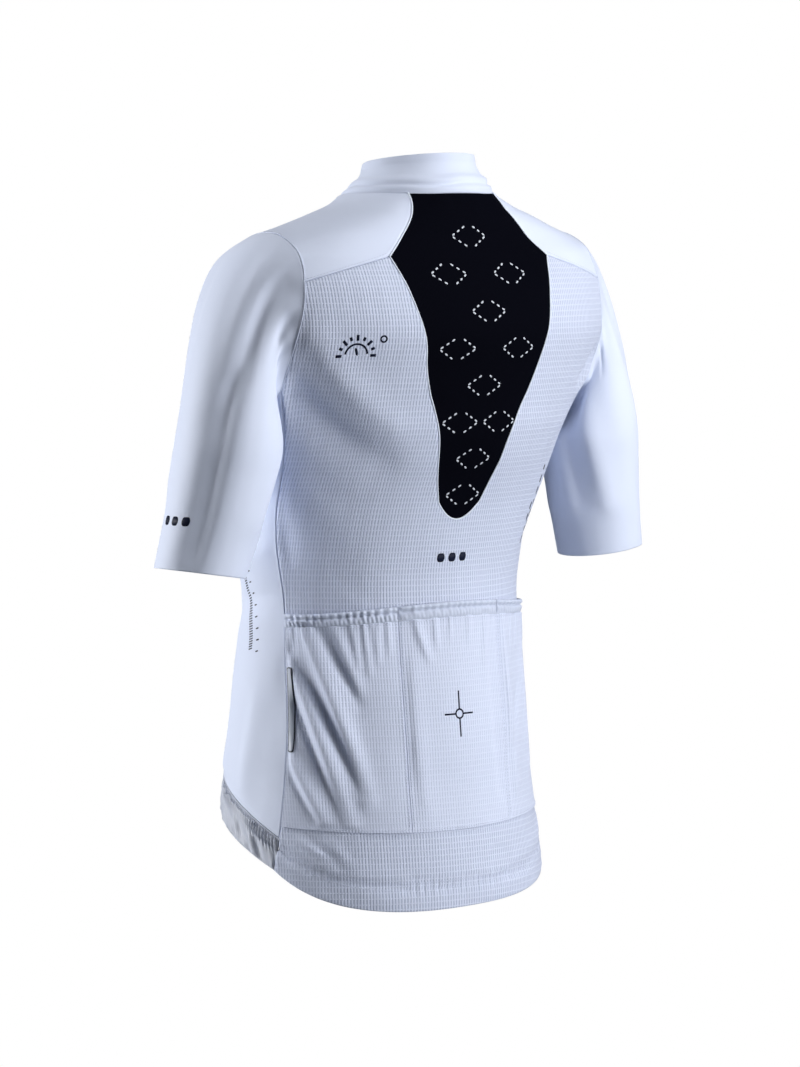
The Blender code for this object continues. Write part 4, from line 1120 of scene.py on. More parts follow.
@lru_cache(None)
def grid_knit_group():
    """The grid knit: upright ribs and cross lines, with a small sunk dash in each cell."""
    group, start, end = new_group(
        "Grid knit",
        [("Cloth", "Vector", None), ("Cell width", "Float", 0.0038), ("Cell height", "Float", 0.0034),
         ("Dash width", "Float", 0.48), ("Dash height", "Float", 0.88)],
        [("Dash", "Float"), ("Relief", "Float")])
    reach = []
    for axis, way in zip(cloth_axes(group, start), ("width", "height")):
        count = maths(group, "DIVIDE", axis, start.outputs["Cell " + way])
        middle = maths(group, "SUBTRACT", maths(group, "FRACT", count), 0.5)
        half = maths(group, "MULTIPLY", start.outputs["Dash " + way], 0.5)
        reach.append(maths(group, "DIVIDE", maths(group, "ABSOLUTE", middle), half))
    total = maths(group, "ADD", *(maths(group, "POWER", share, 3.0) for share in reach))
    dash = ramp(group, total, 0.45, 1.5, 1.0, 0.0)
    group.links.new(dash, end.inputs["Dash"])
    rib = ramp(group, reach[1], 1.0, 1.6)
    relief = maths(group, "SUBTRACT", maths(group, "MULTIPLY", rib, 0.18), dash)
    group.links.new(relief, end.inputs["Relief"])
    return group


@lru_cache(None)
def fine_knit_group():
    """The fine jersey knit of every cloth: small interlocked loops, column by column."""
    group, start, end = new_group(
        "Fine knit", [("Cloth", "Vector", None), ("Gauge", "Float", 0.0009)], [("Relief", "Float")])
    u, v = (maths(group, "DIVIDE", axis, start.outputs["Gauge"])
            for axis in cloth_axes(group, start))
    wale = maths(group, "ABSOLUTE", maths(group, "SINE", maths(group, "MULTIPLY", u, pi)))
    lean = maths(group, "MULTIPLY", wale, 1.4)
    loop = maths(group, "SINE", maths(group, "MULTIPLY", maths(group, "ADD", v, lean), tau))
    relief = maths(group, "ADD", wale, maths(group, "MULTIPLY", loop, 0.35))
    group.links.new(relief, end.inputs["Relief"])
    return group


@lru_cache(None)
def cloth_tone_group():
    """Slow changes of a cloth's tone, and the fine flecks of its yarn."""
    group, start, end = new_group(
        "Cloth tone", [("Colour", "Color", (0.7, 0.7, 0.7, 1)), ("Depth", "Float", 0.06)],
        [("Colour", "Color"), ("Grain", "Float")])
    where = group.nodes.new("ShaderNodeTexCoord").outputs["Object"]
    slow, fleck = noise(group, where, 14.0, 3.0), noise(group, where, 900.0, 1.0)
    both = maths(group, "ADD", maths(group, "MULTIPLY", slow, 0.7),
                 maths(group, "MULTIPLY", fleck, 0.3))
    shade = maths(group, "SUBTRACT", 1.0, maths(group, "MULTIPLY", both, start.outputs["Depth"]))
    grey = group.nodes.new("ShaderNodeCombineColor")
    for socket in grey.inputs[:3]:
        group.links.new(shade, socket)
    toned = multiplied(group, 1.0, start.outputs["Colour"], grey.outputs[0])
    group.links.new(toned, end.inputs["Colour"])
    group.links.new(fleck, end.inputs["Grain"])
    return group


def placed(tree, group, **inputs):
    node = tree.nodes.new("ShaderNodeGroup")
    node.node_tree = group
    return fed(tree, node, **inputs)


def blank_finish(name, tint, roughness, sheen=0.0, metallic=0.0, specular=0.5):
    """A new material; returns it with its tree and its Principled shader."""
    finish = bpy.data.materials.new(name)
    finish.use_nodes = True
    shader = finish.node_tree.nodes["Principled BSDF"]
    fed(finish.node_tree, shader, Base_Color=(*tint, 1), Roughness=roughness, Metallic=metallic,
        Specular_IOR_Level=specular, Sheen_Weight=sheen, Sheen_Roughness=0.45)
    finish.diffuse_color = (*tint, 1)
    return finish, finish.node_tree, shader


def bumped(tree, shader, height, depth, before=None):
    """Relief of a depth on a shader, on top of an earlier one."""
    bump = new_node(tree, "Bump", Strength=1.0, Distance=depth, Height=height)
    if before is not None:
        tree.links.new(before.outputs["Normal"], bump.inputs["Normal"])
    tree.links.new(bump.outputs["Normal"], shader.inputs["Normal"])
    return bump


def cloth_uv(tree):
    node = new_node(tree, "UVMap")
    node.uv_map = "Grain"
    return node.outputs["UV"]


def toned_finish(name, which, tone, *look):
    """A finish in one of the garment's colours, with slow changes of its tone."""
    tint = tuple(getattr(colours(), which))
    finish, tree, shader = blank_finish(name, tint, *look)
    toned = placed(tree, cloth_tone_group(), Colour=(*tint, 1), Depth=tone)
    tree.links.new(toned.outputs["Colour"], shader.inputs["Base Color"])
    return finish, tree, shader, toned


@lru_cache(None)
def smooth_finish(name, which, roughness=0.62, sheen=0.12, gauge=0.0009, depth=0.00006, tone=0.07,
                  specular=0.35):
    """Smooth stretch cloth of one of the garment's colours, with its fine knit."""
    finish, tree, shader, _ = toned_finish(name, which, tone, roughness, sheen, 0.0, specular)
    knit = placed(tree, fine_knit_group(), Cloth=cloth_uv(tree), Gauge=gauge)
    bumped(tree, shader, knit.outputs["Relief"], depth)
    return finish


# Colour multiplied into each sunk dash: painted shade in the dash's recess, on top of its real
# relief.
DASH_PAINTED_SHADE = (0.45, 0.49, 0.60, 1.0)


@lru_cache(None)
def grid_finish(name="Grid knit", stretch=1.0, dash=0.48, depth=0.00052):
    """A grid knit: pale ribs with a sunk dash in every cell, darkened with painted shade."""
    finish, tree, shader, toned = toned_finish(name, "knit", 0.08, 0.7, 0.12, 0.0, 0.3)
    where = cloth_uv(tree)
    knit = placed(tree, grid_knit_group(), Cloth=where, Cell_width=sizes().mesh_width * stretch,
                  Cell_height=sizes().mesh_height)
    # Painted shade: the dash mask, times the strength given as dash, darkens the knit's colour.
    weak = maths(tree, "MULTIPLY", knit.outputs["Dash"], dash)
    dark = multiplied(tree, weak, toned.outputs["Colour"], DASH_PAINTED_SHADE)
    tree.links.new(dark, shader.inputs["Base Color"])
    loops = placed(tree, fine_knit_group(), Cloth=where, Gauge=0.00095)
    first = bumped(tree, shader, knit.outputs["Relief"], depth)
    bumped(tree, shader, loops.outputs["Relief"], 0.00005, first)
    return finish


@lru_cache(None)
def flat_finish(name, which, roughness, metallic=0.0, sheen=0.0, tone=0.10, grit=0.00003,
                specular=0.5):
    """A plain trim: thread, ink, elastic, plastic or metal, with a slightly uneven surface."""
    finish, tree, shader, toned = toned_finish(name, which, tone, roughness, sheen, metallic,
                                               specular)
    bumped(tree, shader, toned.outputs["Grain"], grit)
    return finish


def white_cloth():
    return smooth_finish("Smooth white cloth", "smooth")


def thread_finish():
    return flat_finish("White thread", "binding", 0.6, sheen=0.2)


# ---------------- the pieces
def sheet(node):
    """Hides the solid that a cut piece stands for."""
    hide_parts(node)


def swollen(part, seed, width=0.012):
    """Fade at the seams and the gentle swells of a part."""
    soft = fade(part, width)
    return soft, unevenness(*part.place(), seed) * soft


def swing(across, pitch, *bends):
    """Phase of uneven waves across the cloth. Each bend is a strength, a length and a start."""
    phase = across / pitch * tau
    for strength, reach, start in bends:
        phase = phase + strength * np.sin(across / reach + start)
    return phase


CORD_SIDES = 8
HEM_TURN = 0.020        # depth of the turned hem
HEM_RIPPLES = (
    # height over the hem, width, rise
    (0.0050, 0.0024, 0.0008), (0.0120, 0.0032, 0.0010), (0.0262, 0.0017, -0.0018),
    (0.0310, 0.0034, 0.0014), (0.0200, 0.0014, -0.0013), (0.0390, 0.0040, 0.0007))


def hem_ripples(across, high):
    """Puckers along the hem's two stitch rows, and soft ripples that run along the hem."""
    wander = 0.0016 * np.sin(across / 0.023) + 0.0010 * np.sin(across / 0.0091 + 2)
    height = 0.0
    for middle, width, rise in HEM_RIPPLES:
        patchy = 0.55 + 0.45 * np.sin(across / (0.6 * middle + 0.012) + middle * 900)
        height = height + rise * patchy * hump(high - wander, middle, width)
    pucker = np.sin(swing(across, 0.0078, (1.6, 0.027, 0)))
    return height + 0.0006 * pucker * hump(high, 0.022, 0.008)


class BackCloth(bpy.types.Operator):
    """The grid knit back, cut out round the insert, with its turned hem"""
    bl_idname = "jersey.back"
    bl_label = "Back"

    def execute(self, context):
        part = pattern()[0]["back"].between(rows=(CORNER_ROW, None))
        tip = place(part.rows, TIP_ROW)
        left, right = (place(part.cols, col) for col in INSERT_EDGES)
        cells = np.ones((len(part.rows) - 1, len(part.cols) - 1), bool)
        cells[:tip, left:right] = False
        across, z = part.place()
        soft, waves = swollen(part, 3)
        depth = part.grain[..., 1][-1] - part.grain[..., 1]
        turned = 0.0004 * smooth_step(depth, -HEM_TURN, -HEM_TURN + 0.0012)
        turned = turned + hem_ripples(across, -depth)
        rise = folds(across, z, BACK_FOLDS) * soft + waves * 0.7 + turned
        piece = cloth("back_cloth", part, grid_finish(), rise, cells, free=free_hem(part))
        sheet("back_panel")
        return {"FINISHED"}


class InsertCloth(bpy.types.Operator):
    """The black insert of the back, slightly gathered into the collar seam, and its piping"""
    bl_idname = "jersey.insert"
    bl_label = "Insert"

    def execute(self, context):
        back = pattern()[0]["back"]
        part = back.between(rows=(0, TIP_ROW), cols=INSERT_EDGES).denser(1, 2)
        soft, waves = swollen(part, 5, 0.006)
        across, z = part.place()
        gathers = 0.0006 * np.sin(across / 0.0034 + 1.4 * np.sin(across / 0.011))
        rise = waves * 0.5 + gathers * np.clip(1 + z / 0.016, 0, 1) * soft
        black = smooth_finish("Black rib cloth", "insert", 0.8, 0.0, 0.0014, 0.00010, 0.25, 0.02)
        piece = cloth("insert_cloth", part, black, rise)
        sheet("back_insert")
        edge, up = (np.concatenate([grid[:, 0], grid[-1, 1:-1], grid[::-1, -1]])
                    for grid in (part.points, part.normals))
        radius = sizes().piping
        cord = tube(edge + up * radius * 0.25, up, radius, CORD_SIDES)
        new_trim("insert_piping", cord, flat_finish("White piping", "piping", 0.6, sheen=0.3))
        return {"FINISHED"}


class YokeCloth(bpy.types.Operator):
    """The smooth yokes over both shoulders"""
    bl_idname = "jersey.yokes"
    bl_label = "Yokes"

    def execute(self, context):
        left = pattern()[0]["yoke"]
        for seed, (name, part) in enumerate(left.sides(), 7):
            waves = swollen(part, seed)[1]
            piece = cloth("yoke_cloth_" + name, part, white_cloth(), waves * 0.7)
            sheet("yoke_" + name)
        return {"FINISHED"}


class FrontCloth(bpy.types.Operator):
    """Both smooth fronts, from the zip round to the side seams"""
    bl_idname = "jersey.fronts"
    bl_label = "Fronts"

    def execute(self, context):
        left = pattern()[0]["front"]
        cells = np.ones((len(left.rows) - 1, len(left.cols) - 1), bool)
        cells[:place(left.rows, ARM_FRONT[2]), place(left.cols, ARM_COL):] = False
        for seed, (name, part) in enumerate(left.sides(), 11):
            soft, waves = swollen(part, seed, 0.016)
            across, z = left.place()
            rise = folds(across, z, FRONT_FOLDS) * soft + waves
            piece = cloth("front_cloth_" + name, part, white_cloth(), rise, cells)
            sheet("front_" + name)
        return {"FINISHED"}


ARM_RADIUS = 0.046
RIDGE_LIFT, RIDGE_RADIUS = 0.0001, 0.0006       # the seam ridge of the armhole


def sleeve_rise(turn, z, seed):
    """Soft folds of a sleeve, by angle round the arm and height."""
    height = 0.0
    for a0, z0, a1, z1, rise, spread in SLEEVE_FOLDS:
        away = np.radians((turn - a0 + 180) % 360 - 180) * ARM_RADIUS
        line = (0.0, z0, radians(a1 - a0) * ARM_RADIUS, z1, 0.0, rise, radians(spread) * ARM_RADIUS)
        height = height + folds(away, z, (line,))
    waves = 0.0
    draw = np.random.default_rng(seed)
    for count in (2, 3, 4, 5):
        slant, start = draw.uniform(-18, 18), draw.uniform(0, tau)
        waves = waves + np.sin(np.radians(turn) * count + z * slant * 3 + start) / 4
    return height + waves * sizes().swell


class SleeveCloth(bpy.types.Operator):
    """Both sleeves, from the armhole seams to the plain cut cuffs"""
    bl_idname = "jersey.sleeves"
    bl_label = "Sleeves"

    def execute(self, context):
        parts, turn = pattern()
        left = parts["sleeve"]
        satin = smooth_finish("Satin sleeve cloth", "smooth", 0.58, 0.14, 0.0008, 0.00004, 0.05)
        for seed, (name, part) in enumerate(left.sides(), 17):
            z = part.points[..., 2]
            row = part.rows[:, None]
            held = smooth_step(row, 0.0, 1.0) * (1 - 0.4 * smooth_step(row, 11.0, 12.0))
            rise = sleeve_rise(turn, z, seed) * held
            piece = cloth("sleeve_cloth_" + name, part, satin, rise, closed=True,
                          free=free_hem(part))
            sheet("sleeve_" + name)
            ridge = part.points[0] + part.normals[0] * RIDGE_LIFT
            cord = tube(ridge, part.normals[0], RIDGE_RADIUS, CORD_SIDES, closed=True)
            new_trim("armhole_ridge_" + name, cord, thread_finish())
        return {"FINISHED"}


class CollarCloth(bpy.types.Operator):
    """The stand collar, with its crease and its turned top edge"""
    bl_idname = "jersey.collar"
    bl_label = "Collar"

    def execute(self, context):
        part = pattern()[0]["collar"]
        share = part.rows[:, None]
        along, z = part.place()
        wander = 0.03 * np.sin(along / 0.021) + 0.02 * np.sin(along / 0.0093 + 1)
        crease = -0.0020 * hump(share - wander, 0.25, 0.045)
        roll = 0.0013 * hump(share - wander, 0.37, 0.075) + 0.0010 * hump(share, 0.12, 0.07)
        edge = 0.0003 * smooth_step(share, 0.80, 0.84)
        ends = np.minimum(along, along[:, -1:] - along)
        calm = smooth_step(ends, 0.004, 0.02)
        free = free_hem(part)
        free[:, [0, -1]] = True
        rise = (crease + roll + 0.6 * unevenness(along, z, 21) * np.sin(pi * share)) * calm + edge
        piece = cloth("collar_cloth", part, white_cloth(), rise, free=free)
        sheet("collar")
        return {"FINISHED"}


# ---------------- pockets, tab and bands
POCKETS = {
    # name: first and last column line, folds, how strongly the binding is gathered
    "left": (DIVIDERS[1], 2 * SIDE_COL, LEFT_POCKET_FOLDS, 1.0),
    "centre": (*DIVIDERS, CENTRE_POCKET_FOLDS, 0.55),
    "right": (0, DIVIDERS[0], RIGHT_POCKET_FOLDS, 0.7)}
TACK_WIDE, TACK_TALL, TACK_LIFT, TACK_RADIUS = 0.09, 0.56, 0.0022, 0.00035


def stand_off(part, name):
    """How far a pocket stands off the back: most at the mouth, least at its seams."""
    first, last = POCKETS[name][:2]
    u = (part.cols[None] - first) / (last - first)
    v = (part.rows[:, None] - POCKET_ROW) / (BASE_ROW - POCKET_ROW)
    bow = np.clip(np.sin(pi * u), 0, 1) ** 0.7 * np.clip(np.cos(pi / 2 * v), 0, 1) ** 1.2
    soft = smooth_step(fade(part, 0.010, sides=(0, 1, 1, 1)), 0, 1)
    across, z = part.place()
    creases = folds(across, z, POCKETS[name][2]) + unevenness(across, z, 31 + first) * 0.8
    pleats = np.sin(swing(across, 0.0074, (1.7, 0.019, 0), (1.1, 0.0083, 1)))
    reach = 0.075 + 0.045 * np.sin(across / 0.0117 + 0.7)
    creases = creases + 0.0007 * POCKETS[name][3] * pleats * hump(v, 0, reach)
    creases = creases - 0.0007 * hump((1 - v) * 0.205, 0, 0.0022) / np.maximum(soft, 0.3)
    return POCKET_DEPTH[name] * bow + creases * soft + SEAM_GAP + sizes().cloth_wall


class PocketCloth(bpy.types.Operator):
    """The three rear pockets of grid knit"""
    bl_idname = "jersey.pockets"
    bl_label = "Pockets"

    def execute(self, context):
        back = pattern()[0]["back"]
        # The pocket knit's dashes get weaker painted shade (0.22) than the back's.
        knit = grid_finish("Pocket knit", 0.94, 0.22, 0.00028)
        for name, (first, last, _, _) in POCKETS.items():
            whole = back.between(rows=(POCKET_ROW, BASE_ROW), cols=(first, last)).denser(2, 2)
            rise = stand_off(whole, name)
            below = place(whole.rows, BINDING_ROW)
            part = whole.cut(slice(below, None))
            piece = cloth("pocket_cloth_" + name, part, knit, rise[below:], dip=0.7)
            sheet("pocket_" + name)
        return {"FINISHED"}


class PocketBinding(bpy.types.Operator):
    """The gathered elastic bindings of the pocket mouths, with bar tacks at the dividers"""
    bl_idname = "jersey.bindings"
    bl_label = "Pocket bindings"

    def execute(self, context):
        back = pattern()[0]["back"]
        elastic = smooth_finish("Binding elastic", "binding", 0.6, 0.3, 0.0012, 0.00010, 0.08)
        for name, (first, last, _, strength) in POCKETS.items():
            part = back.between(rows=(POCKET_ROW, BINDING_ROW), cols=(first, last)).denser(4, 5)
            v = (part.rows[:, None] - POCKET_ROW) / (BINDING_ROW - POCKET_ROW)
            across = part.grain[..., 0]
            roll = 0.0015 * hump(v, 0.16, 0.14) - 0.0012 * hump(v, 0.40, 0.07)
            phase = swing(across + 0.0022 * v, 0.0042, (1.5, 0.0190, 0), (0.9, 0.0071, 1))
            belly = np.clip(np.sin(pi * (v - 0.42) / 0.58), 0, 1) ** 0.7
            uneven = 0.75 + 0.25 * np.sin(across / 0.013 + 2)
            gathers = sizes().gather * strength * uneven * belly * (0.5 + 0.5 * np.sin(phase))
            pinch = 0.25 * sizes().gather * strength * np.sin(phase + 0.6) * hump(v, 0, 0.2)
            ends = fade(part, 0.004, sides=(0, 1, 0, 1))
            rise = stand_off(part, name) + (roll + gathers + pinch + 0.0009 * belly) * ends + 0.0004
            piece = cloth("binding_" + name, part, elastic, rise, wall=0.0014, dip=0.5)
            sheet("pocket_binding_" + name)
        zig = np.tile([-TACK_WIDE, TACK_WIDE], 13)
        down = POCKET_ROW - 0.02 + np.linspace(0, TACK_TALL, len(zig))
        tacks = [laid_thread("back_cloth", down, col + zig, TACK_LIFT, TACK_RADIUS)
                 for col in DIVIDERS]
        new_trim("bar_tacks", joined(tacks), thread_finish())
        return {"FINISHED"}


TAB_ROW, TAB_HALF, TAB_COL, TAB_WIDTH = POCKET_ROW + 4.5, 2.0, 2 * SIDE_COL - 0.30, 0.20


class SideTab(bpy.types.Operator):
    """The narrow pale tab on the left pocket's side seam, with its dark rim"""
    bl_idname = "jersey.tab"
    bl_label = "Side tab"

    def execute(self, context):
        for name, which, margin, rise in (("side_tab_rim", "ink", 0.0, 0.0007),
                                          ("side_tab_face", "tab", 0.0011, 0.0011)):
            v, u = np.linspace(-1, 1, 121), np.linspace(-1, 1, 9)
            half = TAB_HALF - margin / 0.0206
            near_end = np.clip((np.abs(v) * half - half + 0.09) / 0.09, 0, 1)
            narrow = np.sqrt(1 - 0.90 * near_end ** 2)[:, None]
            cols = TAB_COL + (TAB_WIDTH - margin / 0.0198) * u[None] * narrow
            rows = np.broadcast_to((TAB_ROW + half * v)[:, None], cols.shape)
            points, normals = on_cloth("pocket_cloth_left", rows, cols)
            part = Part(points, v, u, normals)
            finish = flat_finish("Tab " + which, which, 0.45)
            crown = 0.0002 * (1 - u[None] ** 2) * np.ones(cols.shape)
            piece = cloth(name, part, finish, rise + crown, free=np.ones(cols.shape, bool),
                          wall=rise + 0.0003)
        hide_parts("side_tab")
        return {"FINISHED"}


def band_part():
    """The left gripper band, from the front's lower edge to the hem."""
    parts = pattern()[0]
    front = parts["front"]
    back = parts["back"].between(rows=(BASE_ROW + 1, None))
    top, side = front.points[-1], back.points[:, -1]
    u = front.cols / front.cols[-1]
    v = (back.rows - back.rows[0]) / (back.rows[-1] - back.rows[0])
    low = cut_line(zip_points(FRONT_HEM_Z), side[-1], u)
    edge = zip_points(top[0][2] + (FRONT_HEM_Z - top[0][2]) * v)
    p = coons(top, low, edge, side, u, v)
    p[1:-1, 1:-1] = snap(p[1:-1, 1:-1])
    return Part(p, back.rows, front.cols)


class GripperBand(bpy.types.Operator):
    """The elastic gripper bands of the fronts' hem, drawn up along their upper edge"""
    bl_idname = "jersey.grippers"
    bl_label = "Gripper bands"

    def execute(self, context):
        left = band_part().denser(2, 6)
        elastic = smooth_finish("Gripper elastic", "gripper", 0.42, 0.2, 0.0022, 0.00010, 0.06)
        for name, part in left.sides():
            across = np.abs(part.grain[..., 0])
            v = ((part.rows - part.rows[0]) / (part.rows[-1] - part.rows[0]))[:, None]
            lean = swing(across, 0.0036, (1.6, 0.016, 0), (0.9, 0.0061, 1)) + 5 * v
            patchy = 0.65 + 0.35 * np.sin(across / 0.0113 + 2)
            drawn = patchy * (0.5 + 0.5 * np.sin(lean)) * hump(v, 0.27, 0.16)
            slack = np.sin(swing(across, 0.024, (0.8, 0.031, 0)) + 7 * v)
            slack = slack + 0.5 * np.sin(across / 0.0135 * tau + 5 * v + 1)
            drawn = 0.0025 * drawn + 0.0013 * slack * smooth_step(v, 0.26, 0.62)
            drawn = drawn - 0.0012 * hump(v, 0.09, 0.03)
            turned = 0.0005 * smooth_step(v, 0.2, 0.26)
            waves = unevenness(across, part.points[..., 2], 41)
            rise = (drawn + turned) * fade(part, 0.003) + waves * fade(part, 0.01, sides=(1, 1, 0, 1))
            piece = cloth("gripper_" + name, part, elastic, rise, free=free_hem(part),
                          wall=0.0012)
            sheet("hem_band_" + name)
        return {"FINISHED"}


# ---------------- stitching
def on_cloth(name, rows, cols):
    """Outer points and normals of a laid piece at rows and columns of the solids."""
    part, outer = LAID[name]
    found = []
    for at, lines in ((rows, part.rows), (cols, part.cols)):
        k = np.clip(np.searchsorted(lines, at, side="right") - 1, 0, len(lines) - 2)
        found.append((k, ((at - lines[k]) / (lines[k + 1] - lines[k]))[..., None]))
    (i, u), (j, w) = found
    return blended(outer, i, j, u, w), unit(blended(part.normals, i, j, u, w))


def laid_thread(name, rows, cols, lift, radius):
    """One thread from point to point of a laid piece."""
    path, up = on_cloth(name, rows, cols)
    return tube(path + up * lift, up, radius, THREAD_SIDES)


def row_above_hem(name, depth, count=400):
    """Row and column lines of a path at an even height above a piece's lower edge."""
    part = LAID[name][0]
    high = part.grain[..., 1] - part.grain[-1, :, 1]
    rows = [np.interp(-depth, -high[:, j], part.rows) for j in range(high.shape[1])]
    cols = np.linspace(part.cols[0], part.cols[-1], count)
    return np.interp(cols, part.cols, rows), cols


HEM_STITCHES = (HEM_TURN, HEM_TURN + 0.0065)


class Stitching(bpy.types.Operator):
    """The visible stitch rows: hem, pocket bases and dividers, bindings, grippers and yoke seams"""
    bl_idname = "jersey.stitching"
    bl_label = "Stitching"

    def execute(self, context):
        paths = [("back_cloth", *row_above_hem("back_cloth", depth)) for depth in HEM_STITCHES]
        for name, (first, last, _, _) in POCKETS.items():
            cols = np.linspace(first + 0.1, last - 0.1, 300)
            for row in (BASE_ROW - 0.12, BINDING_ROW + 0.1):
                paths.append(("pocket_cloth_" + name, np.full(300, row), cols))
        down = np.linspace(BINDING_ROW + 0.06, BASE_ROW - 0.14, 300)
        for name, side, aside in (("left", 1, 0.11), ("right", -1, 0.11), ("centre", 1, -0.18),
                                  ("centre", -1, -0.18)):
            col = SIDE_COL + side * (DIVIDER_COL + aside)
            paths.append(("pocket_cloth_" + name, down, np.full(300, col)))
        for name in ("yoke_cloth_left", "yoke_cloth_right"):
            cols = np.linspace(CORNER_ROW + 0.1, YOKE_COLS - 0.1, 200)
            paths.append((name, np.full(200, 0.14), cols))
        shells = [stitch for path in paths for stitch in stitched(*on_cloth(*path))]
        for name in ("gripper_left", "gripper_right"):
            part = LAID[name][0]
            cols = np.linspace(part.cols[0] + 0.1, part.cols[-1] - 0.05, 170)
            rows = part.rows[0] + np.tile([0.10, 0.36], 85)
            shells.append(laid_thread(name, rows, cols, 0.0001, sizes().thread))
        new_trim("stitching", joined(shells), thread_finish())
        return {"FINISHED"}


# ---------------- the zip
TOOTH_PITCH, TOOTH_SIZE = 0.00135, (0.0030, 0.00085, 0.0010)     # across, along and off the tape
TOOTH_SINK, TOOTH_ASIDE = 0.0005, 0.0006
TOOTH_LEVELS = ((0, 1.0), (0.75, 1.0), (1.0, 0.7))      # share of the height, share of the width
TOOTH_CORNERS = ((-1, -1), (1, -1), (1, 1), (-1, 1))
TOOTH_FACES = [[0, 3, 2, 1], [8, 9, 10, 11]]
TOOTH_FACES += [[level + m, level + n, level + 4 + n, level + 4 + m]
                for level in (0, 4) for m, n in ((0, 1), (1, 2), (2, 3), (3, 0))]
ZIP_STEPS, TAPE_LINES = 260, 7
BROKEN_EDGE = (0.00022, 2, radians(30))     # width, steps and least angle of a broken metal edge
SHARP_ANGLE = radians(50)


class ZipChain(bpy.types.Operator):
    """The front zip: its tape, its moulded teeth, and the metal slider and pull"""
    bl_idname = "jersey.zip"
    bl_label = "Zip"

    def execute(self, context):
        parts = pattern()[0]
        band, front, collar = band_part(), parts["front"], parts["collar"]
        lines = (np.concatenate([low[:0:-1, 0], middle[::-1, 0], high[1:, -1]])
                 for low, middle, high in ((band.points, front.points, collar.points),
                                           (band.normals, front.normals, collar.normals)))
        edge, away = (evenly(line, ZIP_STEPS) for line in lines)
        across = np.linspace(-1, 1, TAPE_LINES)[None, :, None] * np.array([1, 0, 0])
        points = edge[:, None] * np.array([0, 1, 1]) + across * FRONT_EDGE
        away = unit(away)[:, None] * np.array([0, 1, 1])
        normals = unit(np.broadcast_to(away, points.shape))
        run = length_run(edge)
        grain = np.stack(np.broadcast_arrays(across[..., 0] * FRONT_EDGE, -run[:, None]), -1)
        tape = Part(points, np.arange(len(edge)), np.arange(TAPE_LINES), normals, grain)
        weave = smooth_finish("Zip tape", "zip", 0.7, 0.1, 0.0010, 0.00012, 0.06)
        piece = cloth("zip_tape", tape, weave, -0.0004, free=np.ones(points.shape[:2], bool))
        sheet("zip_chain")
        middle = TAPE_LINES // 2
        self.teeth(points[:, middle], normals[:, middle], run)
        self.hardware()
        return {"FINISHED"}

    def teeth(self, line, normals, run):
        """Two interlocking rows of moulded teeth along the tape's middle."""
        wide, long, high = TOOTH_SIZE
        shells = []
        along = unit(np.gradient(line, axis=0))
        for k in range(int(run[-1] / TOOTH_PITCH)):
            at = (k + 0.5) * TOOTH_PITCH
            where, up, way = (values_at(at, run, grid) for grid in (line, normals, along))
            turn = 1 if k % 2 else -1
            side = np.array([turn, 0, 0])
            base = where - up * TOOTH_SINK + side * TOOTH_ASIDE
            corners = [base + up * high * rise + (side * wide * i + way * long * j) * slim / 2
                       for rise, slim in TOOTH_LEVELS for i, j in TOOTH_CORNERS]
            shells.append((np.array(corners), [face[::turn] for face in TOOTH_FACES]))
        teeth = new_trim("zip_teeth", joined(shells), flat_finish("Zip teeth", "zip", 0.35))
        teeth.data.shade_flat()

    def hardware(self):
        """The slider and the pull, with their corners broken."""
        metal = flat_finish("Brushed zip metal", "metal", 0.42, metallic=0.85, tone=0.2, grit=0.00005)
        for name, node, body in (("slider_metal", "zip_slider", "garment"),
                                 ("pull_metal", "zip_pull", "pull")):
            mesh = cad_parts[node].data.copy()
            mesh.materials.clear()
            mesh.materials.append(metal)
            piece = linked(name, mesh)
            edge = piece.modifiers.new("Broken edge", "BEVEL")
            edge.width, edge.segments, edge.angle_limit = BROKEN_EDGE
            mesh.shade_smooth()
            mesh.set_sharp_from_angle(angle=SHARP_ANGLE)
            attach(piece, body)
            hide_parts(node)


# ---------------- printed marks
INK_LIFT, INK_WALL, INK_SHINE = 0.00012, 0.00010, 0.12
BAR_STEP = 0.0015
BODY_OUTSIDE, ARM_OUTSIDE = 0.02, 0.09      # how far outside the cloth a mark's ray starts


def at_girth(across, z):
    """The point of the form that lies so far round it at a height."""
    turn = across / 0.14
    for _ in range(8):
        here, ahead = form_point(turn, z), form_point(turn + 1e-4, z)
        turn = turn - (girth(here) - across) * 1e-4 / (girth(ahead) - girth(here))
    return form_point(turn, z)


def body_place(across, z):
    """Outside point and inward way for a mark on the body."""
    p = at_girth(across, z)
    n = unit(form_slope(p))
    return p + n * BODY_OUTSIDE, -n


def arm_place(side):
    def found(around, z):
        """The same for a mark on a sleeve, placed by its way round the arm from outside."""
        rings = SLEEVE_RINGS[::-1]
        centre = np.stack([np.interp(z, rings[:, 2], rings[:, k]) for k in (0, 1)] + [z], -1)
        turn = around / ARM_RADIUS
        way = np.stack([np.cos(turn), np.sin(turn), 0 * turn], -1)
        outside = centre + way * ARM_OUTSIDE
        return (outside, -way) if side > 0 else (mirrored(outside), mirrored(-way))
    return found


